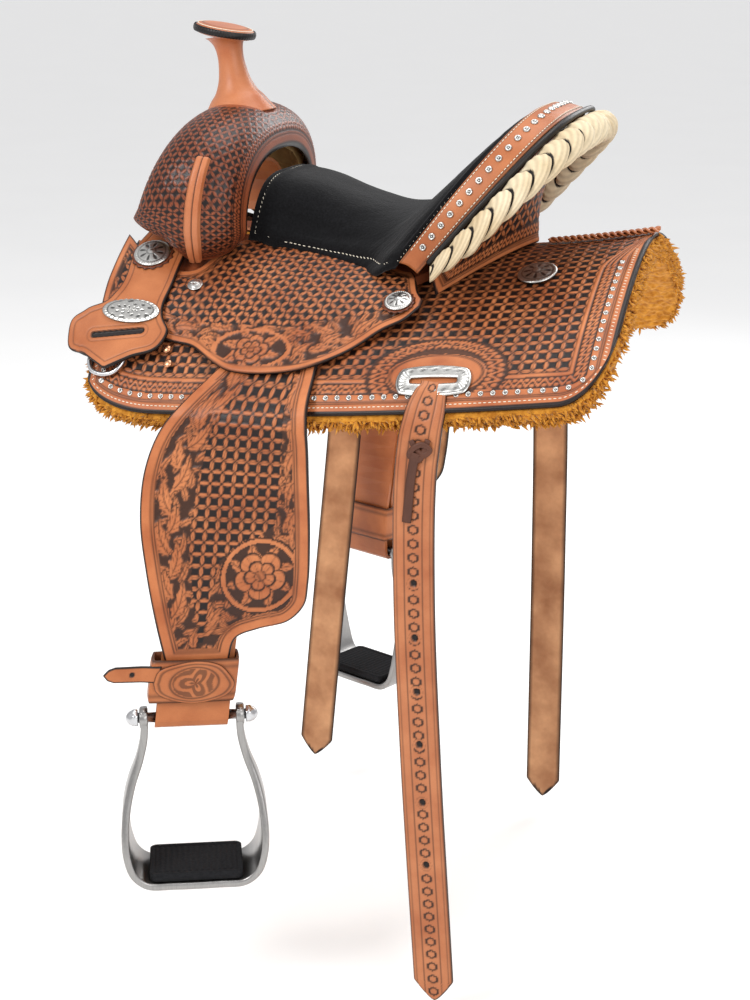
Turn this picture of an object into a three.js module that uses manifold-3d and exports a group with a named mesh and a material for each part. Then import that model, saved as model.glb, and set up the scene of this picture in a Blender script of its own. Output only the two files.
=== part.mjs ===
// A western saddle, in millimetres. +X points to the tail, +Y to the horse's right (the off side) and +Z up.
// The origin is on the mid-plane, at the underside of the fleece where a rack or a horse's back carries it.

import * as THREE from "three";
import { mergeVertices } from "three/addons/utils/BufferGeometryUtils.js";
import Module from "manifold-3d";

const wasm = await Module();
wasm.setup();

// ---------------------------------------------------------------- driving dimensions

const SIDES = { left: -1, right: 1 };

// Half-sections of the skirt's top surface at the front, the middle and the rear.
const SECTIONS = {
  x: [-280, 20, 284],
  crownHeight: [52, 30, 57],
  halfWidth: [236, 256, 252],
  edgeHeight: [-124, -101, -68],
  edgeSlope: [62, 57, 42], // degrees below level
  crownReach: [92, 92, 100],
  edgeReach: [85, 75, 60],
};

const MID_GAP = 0.4; // each side of the mid-plane
const LEATHER = 4.5;

const SKIRT = { front: -285, rear: 284, thickness: 5, gulletStart: -120, gulletDepth: 0.27 };
const FLEECE = { low: -30, high: -6, overhang: 0.02 };
const BAR = { front: -232, rear: 128, low: 1.6, high: 12 };

const SWELL = {
  halfWidth: 152, top: 183, shoulder: 85, foot: 20, waist: 26,
  frontX: -271, frontLean: 0.3, rearX: -146, rearLean: 0.05,
  wallRatio: 0.66, centreHeight: 36, thickness: 4.5, footClearance: 20.5, plateClearance: 17,
};

const HORN = { baseX: -192, baseZ: 185, tilt: 9, height: 62, baseRadius: 30, neckRadius: 14.5, coreRadius: 7 };
const HORN_CAP = { radius: 34, thickness: 13, tilt: 10 };

// The cantle's rim and the inner line of its face band, each from the low corner to the top.
const RIM = { cornerX: 60, cornerY: 150, cornerZ: 14, rise: 164, run: 141, roundness: 0.66 };
const BAND = { cornerX: 37, cornerY: 143, cornerZ: 29, rise: 158, run: 121, roundness: 0.7, thickness: 5 };
const CANTLE_BASE = { cornerX: 78, apexX: 158, halfWidth: 136, clearance: 3 };
const ROPE = { radius: 15.5, tipRadius: 5, drop: 13, back: 9 };
const PIPING_RADIUS = 3.2;

const SEAT_PAD = { crown: 15, edge: 6 };

// The line that the stirrup leather and fender hang along: s is the drop below the top.
const LEG = { x: -100, y: 264, z: -60, leanX: -38 / 390, leanY: 40 / 390, twist: 24, twistFrom: 60, twistTo: 300 };
const STRAP_HALF = 38.5;
const STIRRUP_DROP = 372;
const HOBBLE = { top: 306, bottom: 352, halfWidth: 47, outer: 13, inner: -20, wall: 4, tongueLength: 58 };

const STIRRUP = { barThickness: 8, eyeDepth: 20, treadDepth: 75, eyeRadius: 11, boltRadius: 5.5, boltHalf: 57 };
const TREAD = { top: -166, bottom: -176.2, halfWidth: 50, halfDepth: 35 };

const BILLET = { width: 44, thickness: 5, tip: 24, holeRadius: 3.2 };

// ---------------------------------------------------------------- colours

const paint = {
  tooled: { color: 0xb46a42, roughness: 0.5, metalness: 0 },
  plain: { color: 0xcd8c5f, roughness: 0.5, metalness: 0 },
  darkTan: { color: 0xac5a30, roughness: 0.45, metalness: 0 },
  suede: { color: 0x161618, roughness: 0.95, metalness: 0 },
  fleece: { color: 0xcd9632, roughness: 1, metalness: 0 },
  rope: { color: 0xd7c39b, roughness: 0.7, metalness: 0 },
  silver: { color: 0xb9b9bb, roughness: 0.3, metalness: 1 },
  aluminium: { color: 0xa4a6aa, roughness: 0.35, metalness: 1 },
  rubber: { color: 0x1c1c1e, roughness: 0.85, metalness: 0 },
  wood: { color: 0xb59668, roughness: 0.8, metalness: 0 },
  piping: { color: 0x14100f, roughness: 0.4, metalness: 0 },
};

// ---------------------------------------------------------------- solids

const point = (x, y, z) => new THREE.Vector3(x, y, z);
const clamp = (value, low = 0, high = 1) => Math.min(high, Math.max(low, value));
const mix = (a, b, t) => a + (b - a) * t;
const smooth = (t) => clamp(t) ** 2 * (3 - 2 * clamp(t));
const radians = THREE.MathUtils.degToRad;

function signedVolume(points, faces) {
  let total = 0;
  const cross = new THREE.Vector3();
  for (const [a, b, c] of faces) {
    total += points[a].dot(cross.crossVectors(points[b], points[c]));
  }
  return total;
}

// A closed body from points and triangles, turned so that its faces point out.
function closedBody(points, faces) {
  const outward = signedVolume(points, faces) > 0;
  const geometry = new THREE.BufferGeometry();
  geometry.setAttribute("position", new THREE.Float32BufferAttribute(points.flatMap((p) => p.toArray()), 3));
  geometry.setIndex(faces.flatMap(([a, b, c]) => (outward ? [a, b, c] : [a, c, b])));
  return geometry;
}

// A slab between two sheets of points, each given by a function of u and v from 0 to 1.
function slab(columns, rows, outer, inner) {
  const points = [];
  const faces = [];
  const sheet = (columns + 1) * (rows + 1);
  const at = (i, j) => j * (columns + 1) + i;
  const quad = (a, b, c, d) => faces.push([a, b, c], [a, c, d]);
  for (const surface of [outer, inner]) {
    for (let j = 0; j <= rows; j += 1) {
      for (let i = 0; i <= columns; i += 1) {
        points.push(surface(i / columns, j / rows));
      }
    }
  }
  for (let j = 0; j < rows; j += 1) {
    for (let i = 0; i < columns; i += 1) {
      quad(at(i, j), at(i + 1, j), at(i + 1, j + 1), at(i, j + 1));
      quad(sheet + at(i, j), sheet + at(i, j + 1), sheet + at(i + 1, j + 1), sheet + at(i + 1, j));
    }
  }
  const border = [];
  for (let i = 0; i < columns; i += 1) border.push(at(i, 0));
  for (let j = 0; j < rows; j += 1) border.push(at(columns, j));
  for (let i = columns; i > 0; i -= 1) border.push(at(i, rows));
  for (let j = rows; j > 0; j -= 1) border.push(at(0, j));
  border.forEach((a, k) => {
    const b = border[(k + 1) % border.length];
    quad(a, sheet + a, sheet + b, b);
  });
  return closedBody(points, faces);
}

// A closed body through rings of points, with a flat fan over each end.
function loft(rings) {
  const count = rings[0].length;
  const points = rings.flat();
  const faces = [];
  for (let r = 0; r + 1 < rings.length; r += 1) {
    for (let k = 0; k < count; k += 1) {
      const a = r * count + k;
      const b = r * count + ((k + 1) % count);
      faces.push([a, b, b + count], [a, b + count, a + count]);
    }
  }
  for (const [r, flip] of [[0, true], [rings.length - 1, false]]) {
    const centre = points.length;
    points.push(rings[r].reduce((sum, p) => sum.add(p), point(0, 0, 0)).divideScalar(count));
    for (let k = 0; k < count; k += 1) {
      const a = r * count + k;
      const b = r * count + ((k + 1) % count);
      faces.push(flip ? [centre, b, a] : [centre, a, b]);
    }
  }
  return closedBody(points, faces);
}

function toManifold(geometry) {
  const bare = geometry.clone();
  bare.deleteAttribute("normal");
  bare.deleteAttribute("uv");
  const merged = mergeVertices(bare, 1e-3);
  const vertProperties = new Float32Array(merged.attributes.position.array);
  const triVerts = new Uint32Array(merged.index.array);
  return new wasm.Manifold(new wasm.Mesh({ numProp: 3, vertProperties, triVerts }));
}

function fromManifold(solid) {
  const { vertProperties, triVerts } = solid.getMesh();
  const geometry = new THREE.BufferGeometry();
  geometry.setAttribute("position", new THREE.BufferAttribute(vertProperties, 3));
  geometry.setIndex(new THREE.BufferAttribute(triVerts, 1));
  return geometry;
}

// A smooth curve of y over x through a few points.
function through(pairs) {
  const curve = new THREE.CatmullRomCurve3(pairs.map(([x, y]) => point(x, y, 0)), false, "centripetal");
  const samples = curve.getPoints(pairs.length * 12);
  return (x) => {
    const next = samples.findIndex((p) => p.x > x);
    if (next === 0) return samples[0].y;
    if (next < 0) return samples[samples.length - 1].y;
    const [a, b] = [samples[next - 1], samples[next]];
    return mix(a.y, b.y, (x - a.x) / (b.x - a.x));
  };
}

const root = new THREE.Group();

function add(name, geometry, look, parent = root) {
  const mesh = new THREE.Mesh(geometry, new THREE.MeshStandardMaterial(look));
  mesh.name = name;
  parent.add(mesh);
  return mesh;
}

// ---------------------------------------------------------------- the skirt's surface

// The parabola through a section value at the front, the middle and the rear.
function along(values, x) {
  const [front, middle, rear] = SECTIONS.x;
  const a = ((x - middle) * (x - rear)) / ((front - middle) * (front - rear));
  const b = ((x - front) * (x - rear)) / ((middle - front) * (middle - rear));
  const c = ((x - front) * (x - middle)) / ((rear - front) * (rear - middle));
  return values[0] * a + values[1] * b + values[2] * c;
}

// A point on the saddle's side: x along the back, t from 0 at the crown to 1 at the lower edge, and a height
// above the skirt's top surface.
function saddlePoint(side, x, t, height = 0) {
  const slope = radians(along(SECTIONS.edgeSlope, x));
  const crown = new THREE.Vector2(0, along(SECTIONS.crownHeight, x));
  const shoulder = new THREE.Vector2(along(SECTIONS.crownReach, x), crown.y);
  const edge = new THREE.Vector2(along(SECTIONS.halfWidth, x), along(SECTIONS.edgeHeight, x));
  const back = new THREE.Vector2(-Math.cos(slope), Math.sin(slope));
  const flank = edge.clone().addScaledVector(back, along(SECTIONS.edgeReach, x));
  const curve = new THREE.CubicBezierCurve(crown, shoulder, flank, edge);
  const inside = clamp(t);
  const place = curve.getPoint(inside);
  const tangent = curve.getTangent(inside);
  place.addScaledVector(tangent, (t - inside) * 3 * along(SECTIONS.edgeReach, x));
  const y = Math.max(MID_GAP, place.x - tangent.y * height);
  return point(x, side * y, place.y + tangent.x * height);
}

// The frame that lies on the side at a point: z stands out of the surface and x runs to the rear.
function saddleFrame(side, x, t, height) {
  const step = 1;
  const here = saddlePoint(side, x, t, height);
  const rearward = saddlePoint(side, x + step, t, height).sub(here).normalize();
  const outward = saddlePoint(side, x, t, height + step).sub(here).normalize();
  const across = new THREE.Vector3().crossVectors(outward, rearward).normalize();
  const frame = new THREE.Matrix4().makeBasis(rearward, across, outward);
  frame.setPosition(here);
  return frame;
}

// The height of the saddle's side under a place, for a surface that lies the given height above the skirt.
function groundLevel(x, y, height) {
  let low = 0;
  let high = 1.2;
  for (let k = 0; k < 18; k += 1) {
    const t = (low + high) / 2;
    if (saddlePoint(1, x, t, height).y < Math.abs(y)) low = t;
    else high = t;
  }
  return saddlePoint(1, x, low, height).z;
}

// A sheet of leather on the saddle's side, between two heights, over patch(u, v) = [x, t].
function panel(side, columns, rows, patch, low, thickness) {
  const lowAt = typeof low === "function" ? low : () => low;
  const sheet = (extra) => (u, v) => {
    const [x, t] = patch(u, v);
    return saddlePoint(side, x, t, lowAt(x, t) + extra);
  };
  return slab(columns, rows, sheet(thickness), sheet(0));
}

// ---------------------------------------------------------------- skirts, fleece, tree and seat

function skirtPatch(overhang) {
  const { front, rear, gulletStart, gulletDepth } = SKIRT;
  return (u, v) => {
    const x = mix(front, rear, u - 0.085 * Math.sin(2 * Math.PI * u));
    const frontCorner = 0.16 * (1 - Math.sqrt(1 - clamp((-200 - x) / 86) ** 2));
    const rearCorner = 0.44 * (1 - Math.sqrt(1 - clamp((x - 238) / 46.5) ** 2));
    const outer = 1 - frontCorner - rearCorner + overhang;
    const inner = gulletDepth * smooth((gulletStart - x) / (gulletStart - front));
    return [x, mix(inner, outer, v)];
  };
}

function buildSkirts() {
  for (const [name, side] of Object.entries(SIDES)) {
    const patch = skirtPatch(0);
    add(`${name}_skirt`, panel(side, 15, 7, patch, -SKIRT.thickness, SKIRT.thickness), paint.tooled);
    const wool = panel(side, 15, 7, skirtPatch(FLEECE.overhang), FLEECE.low, FLEECE.high - FLEECE.low);
    add(`${name}_fleece`, wool, paint.fleece);
  }
}

function buildTree() {
  for (const [name, side] of Object.entries(SIDES)) {
    const patch = (u, v) => {
      const x = mix(BAR.front, BAR.rear - 110 * v ** 1.2, u);
      return [x, mix(mix(0.3, 0.1, smooth((x - BAR.front) / 120)), 0.48, v)];
    };
    add(`tree_${name}_bar`, panel(side, 10, 3, patch, BAR.low, BAR.high - BAR.low), paint.wood);
  }
}

function seatEdge(x) {
  return through([[-152, 0.262], [-100, 0.25], [-50, 0.285], [0, 0.35], [37, 0.44]])(x);
}

// The seat's upper surface: u from the swell to the cantle, v from -1 on the left to 1 on the right.
function seatPoint(u, v, sink = 0) {
  const edgeX = mix(-150, BAND.cornerX, u ** 0.85);
  const edge = saddlePoint(1, edgeX, seatEdge(edgeX), 21);
  const lift = smooth((u - 0.72) / 0.28);
  const middleX = mix(-134, BAND.cornerX + BAND.run, u);
  const middleZ = through([[-134, 112], [-90, 104], [-40, 87], [15, 76], [52, 86], [90, 122], [125, 157], [158, 187]])(middleX);
  const roundness = mix(0.5, BAND.roundness, smooth(u / 0.5));
  const angle = (Math.abs(v) * Math.PI) / 2;
  const toMiddle = Math.cos(angle) ** roundness;
  const toEdge = Math.sin(angle) ** roundness;
  const edgeY = mix(edge.y, BAND.cornerY, lift);
  const edgeZ = mix(edge.z, BAND.cornerZ, lift);
  return point(mix(edgeX, middleX, toMiddle), Math.sign(v) * edgeY * toEdge, mix(edgeZ, middleZ, toMiddle) - sink);
}

function buildSeat() {
  const under = (u, v) => mix(SEAT_PAD.crown, SEAT_PAD.edge, Math.abs(v) ** 3);
  const pad = slab(
    14, 14,
    (u, v) => seatPoint(u, 2 * v - 1),
    (u, v) => seatPoint(u, 2 * v - 1, under(u, 2 * v - 1)),
  );
  add("seat_pad", pad, paint.suede);
  const strainer = (extra) => (u, v) => {
    const reach = 0.86 * (2 * v - 1);
    return seatPoint(mix(0.08, 0.5, u), reach, SEAT_PAD.crown + 6 + extra);
  };
  add("ground_seat", slab(6, 8, strainer(0), strainer(3)), paint.wood);
}

function jockeyPatch() {
  const upper = through([
    [-286, 0.31], [-250, 0.4], [-195, 0.44], [-152, 0.3], [-100, 0.265], [-50, 0.3], [0, 0.38], [38, 0.45], [58, 0.46], [74, 0.52],
  ]);
  const lower = through([
    [-286, 0.6], [-245, 0.66], [-198, 0.71], [-168, 0.73], [-140, 0.79], [-112, 0.832], [-50, 0.83], [-12, 0.785], [38, 0.645], [62, 0.598],
    [74, 0.55],
  ]);
  return (u, v) => {
    const x = mix(-286, 74, u);
    return [x, mix(upper(x), lower(x), v)];
  };
}

function jockeyHeight(x, t) {
  const overLeathers = smooth((x + 180) / 45) * (1 - smooth((x + 25) / 50));
  const hem = 1.8 + 5.5 * overLeathers;
  return mix(14, hem, smooth((t - 0.5) / 0.24));
}

function buildJockeys() {
  for (const [name, side] of Object.entries(SIDES)) {
    add(`${name}_seat_jockey`, panel(side, 16, 5, jockeyPatch(), jockeyHeight, LEATHER), paint.tooled);
  }
}

// ---------------------------------------------------------------- swell and horn

// A point of the fork's skin: around runs from -1 at the left foot to 1 at the right foot, fore from -1 at the
// front opening to 1 at the rear, and inset is the depth under the leather's outer face.
function swellPoint(around, fore, inset = 0, clearance = 0) {
  const { halfWidth, top, shoulder, waist, wallRatio, centreHeight } = SWELL;
  const span = Math.abs(around);
  const lobe = 0.62; // the share of each half that is above the shoulder
  const wide = halfWidth - inset;
  let y = wide * Math.sin(clamp(span / lobe) * (Math.PI / 2)) ** 0.85;
  let z = shoulder + (top - inset - shoulder) * Math.cos(clamp(span / lobe) * (Math.PI / 2)) ** 0.9;
  const down = clamp((span - lobe) / (1 - lobe));
  if (down > 0) {
    y = wide - waist * down ** 2;
    z = mix(shoulder, SWELL.foot, down);
  }
  const taper = 1 - 0.3 * smooth((60 - z) / 60);
  const front = SWELL.frontX + SWELL.frontLean * Math.max(0, z - 60) + inset;
  const rear = SWELL.rearX + SWELL.rearLean * z - inset;
  const middle = (front + rear) / 2;
  const half = ((rear - front) / 2) * taper;
  const angle = (fore * Math.PI) / 2;
  const ratio = mix(wallRatio, 1, Math.cos(angle) ** 0.62);
  const x = middle + half * Math.sin(angle);
  const wall = centreHeight + (Math.max(z, shoulder) - centreHeight) * ratio;
  const seatLevel = SWELL.footClearance + SWELL.plateClearance * smooth((-195 - x) / 40) + clearance;
  const level = down > 0 ? mix(wall, groundLevel(x, y * ratio, seatLevel), down) : wall;
  return point(x, Math.sign(around) * y * ratio, level);
}

function buildSwell() {
  const cover = slab(
    18, 6,
    (u, v) => swellPoint(2 * u - 1, 2 * v - 1),
    (u, v) => swellPoint(2 * u - 1, 2 * v - 1, SWELL.thickness),
  );
  add("swell_cover", cover, paint.darkTan);
  const wood = (depth) => (u, v) => {
    const skin = swellPoint(2 * u - 1, 1.6 * v - 0.8, SWELL.thickness + 6, 6);
    skin.y *= 1 - depth;
    skin.z -= (skin.z - SWELL.centreHeight) * depth * smooth((skin.z - 50) / 60);
    return skin;
  };
  add("tree_fork", slab(16, 4, wood(0), wood(0.15)), paint.wood);
  const lining = (ratio) => (u, v) => {
    const rim = swellPoint(1.5 * u - 0.75, 0);
    return point(mix(-230, -168, v), rim.y * ratio, SWELL.centreHeight + (rim.z - SWELL.centreHeight) * ratio);
  };
  add("gullet_cover", slab(16, 1, lining(0.575), lining(0.55)), paint.darkTan);
  for (const [name, side] of Object.entries(SIDES)) {
    const strip = (lift) => (u, v) => swellPoint(side * mix(0.97, 0.42, u), mix(0.1, 0.28, v), -lift);
    add(`${name}_swell_welt`, slab(8, 2, strip(4.6), strip(1.4)), paint.darkTan);
  }
}

function lathe(profile, segments) {
  return new THREE.LatheGeometry(profile.map(([r, y]) => new THREE.Vector2(r, y)), segments);
}

function buildHorn() {
  const { baseX, baseZ, tilt, height, baseRadius, neckRadius, coreRadius } = HORN;
  const horn = new THREE.Group();
  horn.position.set(baseX, 0, baseZ);
  horn.rotation.set(Math.PI / 2, -radians(tilt), 0, "YXZ");
  root.add(horn);
  const bore = coreRadius + 0.5;
  const neck = [[bore, 0], [baseRadius, 0], [24, 8], [18.5, 20], [15.5, 34], [neckRadius, 48], [17, height]];
  add("horn_neck_wrap", lathe([...neck, [bore, height], [bore, 0]], 18), paint.darkTan, horn);
  add("horn_core", lathe([[0, 0.5], [coreRadius, 0.5], [coreRadius, height], [0, height]], 12), paint.aluminium, horn);
  const cap = new THREE.Group();
  cap.position.set(-4, height + 7.2, 0);
  cap.rotation.z = -radians(HORN_CAP.tilt + tilt);
  horn.add(cap);
  const { radius, thickness } = HORN_CAP;
  const rim = radius - 3;
  const top = [[0, 0], [26, 0.4], [rim, 2], [rim, thickness - 3], [rim - 4, thickness - 0.6], [12, thickness], [0, thickness]];
  add("horn_cap", lathe(top, 24), paint.darkTan, cap);
  const edge = [[rim + 0.5, 2.5], [radius + 1, 3], [radius + 1, thickness - 4], [rim + 0.5, thickness - 3.5], [rim + 0.5, 2.5]];
  add("horn_cap_binding", lathe(edge, 24), paint.piping, cap);
}

// ---------------------------------------------------------------- cantle

// A point of a line around the cantle: v runs from -1 at the left corner over the top to 1 at the right.
function cantleLine({ cornerX, cornerY, cornerZ, run, rise, roundness }, v) {
  const angle = (Math.abs(v) * Math.PI) / 2;
  const climb = Math.cos(angle) ** roundness;
  const spread = Math.sin(angle) ** roundness;
  return point(cornerX + run * climb, Math.sign(v) * cornerY * spread, cornerZ + rise * climb);
}

// The direction in which the cantle's back faces at v: to the rear at the top and to the side at the corners.
function cantleOutward(v) {
  const turn = v * radians(74);
  return point(Math.cos(turn), Math.sin(turn), 0);
}

function cantleBase(v) {
  const across = Math.abs(v);
  const x = mix(CANTLE_BASE.apexX, CANTLE_BASE.cornerX, across ** 1.25);
  const y = CANTLE_BASE.halfWidth * across;
  return point(x, Math.sign(v) * y, groundLevel(x, y, CANTLE_BASE.clearance));
}

function backPoint(v, down, inset) {
  const out = cantleOutward(v);
  const top = cantleLine(RIM, v * 0.97).addScaledVector(out, -9);
  top.z -= 9;
  const base = cantleBase(v * 0.97);
  const place = top.lerp(base, down);
  const hollow = 14 * Math.sin(Math.PI * down) * Math.cos((v * Math.PI) / 2);
  return place.addScaledVector(out, -hollow - inset);
}

function buildCantle() {
  const cover = (inset) => (u, v) => backPoint(2 * u - 1, v, inset);
  add("cantle_back_cover", slab(18, 4, cover(0), cover(LEATHER)), paint.tooled);
  const board = (inset) => (u, v) => backPoint(0.86 * (2 * u - 1), mix(0.1, 0.66, v), inset);
  add("tree_cantle", slab(14, 3, board(LEATHER + 1.8), board(LEATHER + 16)), paint.wood);
  const band = (low) => (u, v) => {
    const across = 2 * u - 1;
    const outer = cantleLine(RIM, across);
    const inner = cantleLine(BAND, across);
    outer.addScaledVector(cantleOutward(across), -4);
    outer.z += 3;
    const place = inner.lerp(outer, mix(0.05, 0.96, v));
    place.z += 3 * Math.sin(Math.PI * v) - low;
    return place;
  };
  add("cantle_face_band", slab(24, 2, band(-2), band(2.5)), paint.tooled);
  const steps = 24;
  const rope = [];
  const piping = [];
  for (let k = 0; k <= steps; k += 1) {
    const v = 0.97 * ((2 * k) / steps - 1);
    const out = cantleOutward(v);
    const up = point(0, 0, 1);
    const taper = Math.sqrt(clamp((0.98 - Math.abs(v)) / 0.16));
    const radius = mix(ROPE.tipRadius, ROPE.radius, taper);
    const centre = cantleLine(RIM, v).addScaledVector(out, ROPE.back * taper + 4);
    centre.z -= ROPE.drop * mix(0.2, 1, taper);
    rope.push(ring(centre, out, up, radius, 8));
    const bead = cantleLine(RIM, v).addScaledVector(out, 1.4);
    bead.z += 5.5;
    piping.push(ring(bead, out, up, PIPING_RADIUS, 6));
  }
  add("cantle_rope", loft(rope), paint.rope);
  add("cantle_piping", loft(piping), paint.piping);
}

function ring(centre, out, up, radius, count) {
  return Array.from({ length: count }, (_, k) => {
    const angle = (2 * Math.PI * k) / count;
    const spoke = out.clone().multiplyScalar(Math.cos(angle)).addScaledVector(up, Math.sin(angle));
    return centre.clone().addScaledVector(spoke, radius);
  });
}

function buildBraid() {
  const strip = (height) => (u, v) => {
    const half = mix(4, 9, smooth(u / 0.3));
    const y = half * (2 * v - 1);
    const x = mix(172, 287, u);
    return point(x, y, along(SECTIONS.crownHeight, x) + height - 0.0035 * y * y);
  };
  add("rear_skirt_braid", slab(10, 2, strip(7), strip(1.5)), paint.plain);
}

// ---------------------------------------------------------------- plates and conchos

function plateHeight(x, t) {
  return mix(20, 11.5, smooth((t - 0.45) / 0.3));
}

function buildLatigoPlates() {
  const front = through([[0.24, -257], [0.3, -262], [0.4, -267], [0.5, -264], [0.58, -272], [0.64, -300], [0.7, -315], [0.76, -312], [0.8, -288],
    [0.845, -262]]);
  const rear = through([[0.24, -252], [0.3, -232], [0.4, -208], [0.5, -207], [0.6, -210], [0.7, -196], [0.75, -201], [0.8, -232], [0.845, -258]]);
  for (const [name, side] of Object.entries(SIDES)) {
    const patch = (u, v) => {
      const t = mix(0.24, 0.845, v);
      return [mix(front(t), rear(t), u), t];
    };
    const leather = toManifold(panel(side, 4, 14, patch, plateHeight, LEATHER));
    const slot = new THREE.BoxGeometry(62, 6.5, 30);
    slot.rotateZ(radians(5) * -side);
    slot.applyMatrix4(saddleFrame(side, -254, 0.715, plateHeight(-254, 0.715)));
    add(`${name}_latigo_plate`, fromManifold(leather.subtract(toManifold(slot))), paint.plain);
    const oval = new THREE.Shape();
    oval.absellipse(0, 0, 34, 15.5, 0, 2 * Math.PI);
    const silver = new THREE.ExtrudeGeometry(oval, { depth: 2.5, bevelEnabled: false, curveSegments: 14 });
    silver.applyMatrix4(saddleFrame(side, -245, 0.633, plateHeight(-245, 0.633) + LEATHER + 2.4));
    add(`${name}_oval_plate`, silver, paint.silver);
  }
}

function buildSlotPlates() {
  const { x, t, halfLength, halfHeight, corner } = { x: 108, t: 0.852, halfLength: 39.5, halfHeight: 18.5, corner: 14 };
  const outline = new THREE.Shape();
  outline.moveTo(halfLength - corner, -halfHeight);
  outline.absarc(halfLength - corner, -halfHeight + corner, corner, -Math.PI / 2, 0);
  outline.absarc(halfLength - corner, halfHeight - corner, corner, 0, Math.PI / 2);
  outline.absarc(-halfLength + corner, halfHeight - corner, corner, Math.PI / 2, Math.PI);
  outline.absarc(-halfLength + corner, -halfHeight + corner, corner, Math.PI, 1.5 * Math.PI);
  const slot = new THREE.Path();
  slot.moveTo(-25, -4);
  slot.lineTo(-25, 4);
  slot.lineTo(25, 4);
  slot.lineTo(25, -4);
  outline.holes.push(slot);
  for (const [name, side] of Object.entries(SIDES)) {
    const plate = new THREE.ExtrudeGeometry(outline, { depth: 2.5, bevelEnabled: false, curveSegments: 5 });
    plate.applyMatrix4(saddleFrame(side, x, t, 1.8));
    add(`${name}_slot_plate`, plate, paint.silver);
  }
}

function domedDisc(radius, height, lift) {
  const disc = lathe([[0, 0], [radius, 0], [radius, 1.6], [radius * 0.72, height * 0.8], [radius * 0.35, height], [0, height]], 14);
  disc.rotateX(Math.PI / 2);
  disc.translate(0, 0, lift);
  return disc;
}

function buildConchos() {
  const places = [
    ["front_concho", -243, 0.412, 20, 5, plateHeight(-243, 0.412) + LEATHER],
    ["seat_concho", 50, 0.538, 15, 5, jockeyHeight(50, 0.538) + LEATHER],
    ["rear_concho", 179, 0.313, 21, 5, 0],
    ["jockey_screw", -183, 0.505, 8.5, 2.6, jockeyHeight(-183, 0.505) + LEATHER],
  ];
  for (const [name, side] of Object.entries(SIDES)) {
    for (const [piece, x, t, radius, height, level] of places) {
      const disc = domedDisc(radius, height, 2);
      disc.applyMatrix4(saddleFrame(side, x, t, level));
      add(`${name}_${piece}`, disc, paint.silver);
    }
  }
}

function buildDees() {
  const width = 40;
  const drop = 27;
  const wire = 2.6;
  for (const [name, side] of Object.entries(SIDES)) {
    const bar = new THREE.CylinderGeometry(wire, wire, width + 2 * wire, 8);
    bar.rotateZ(Math.PI / 2);
    const bow = new THREE.CatmullRomCurve3([
      point(-width / 2, 0, 0), point(-width / 2, -drop * 0.45, 0), point(-width * 0.34, -drop * 0.86, 0), point(0, -drop, 0),
      point(width * 0.34, -drop * 0.86, 0), point(width / 2, -drop * 0.45, 0), point(width / 2, 0, 0),
    ]);
    const section = new THREE.Shape();
    section.absarc(0, 0, wire, 0, 2 * Math.PI);
    const arc = new THREE.ExtrudeGeometry(section, { steps: 18, extrudePath: bow, curveSegments: 4 });
    const dee = fromManifold(toManifold(bar).add(toManifold(arc)));
    dee.rotateX(side < 0 ? 0 : Math.PI);
    dee.applyMatrix4(saddleFrame(side, -264, 0.77, 4.6));
    add(`${name}_dee_ring`, dee, paint.silver);
  }
}

// ---------------------------------------------------------------- fenders, leathers and stirrups

// A point beside the leg: s is the drop below the fender's top, w the place across it (to the rear) and n the
// distance out from the saddle.
function legPoint(side, s, w, n) {
  const twist = radians(LEG.twist) * clamp((s - LEG.twistFrom) / (LEG.twistTo - LEG.twistFrom));
  const x = LEG.x + LEG.leanX * s + w * Math.cos(twist) + n * Math.sin(twist);
  const y = LEG.y + LEG.leanY * s - w * Math.sin(twist) + n * Math.cos(twist);
  return point(x, side * y, LEG.z - s);
}

function buildFenders() {
  const frontEdge = through([[2, -22], [35, -47], [70, -69], [110, -79], [160, -77], [215, -64], [270, -48], [312, -34]]);
  const rearEdge = through([[2, 80], [60, 92], [115, 98], [175, 104], [225, 107], [250, 105], [268, 90], [276, 60], [286, 37], [312, 32]]);
  for (const [name, side] of Object.entries(SIDES)) {
    const sheet = (n) => (u, v) => {
      const s = mix(2, 312, v - 0.045 * Math.sin(2 * Math.PI * v));
      return legPoint(side, s, mix(frontEdge(s), rearEdge(s), u), n);
    };
    add(`${name}_fender`, slab(5, 16, sheet(4.5), sheet(0)), paint.tooled);
  }
}

// A strap of the given half width that follows path(k) = [s, n] for k from 0 to 1.
function strapAlongLeg(side, path, halfWidth, thickness, steps) {
  const edge = (offset) => (u, v) => {
    const [s, n] = path(u);
    const [sa, na] = path(Math.max(0, u - 0.004));
    const [sb, nb] = path(Math.min(1, u + 0.004));
    const length = Math.hypot(sb - sa, nb - na);
    const across = [-(nb - na) / length, (sb - sa) / length];
    return legPoint(side, s + across[0] * offset, mix(-halfWidth, halfWidth, v), n + across[1] * offset);
  };
  return slab(steps, 1, edge(thickness), edge(0));
}

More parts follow.
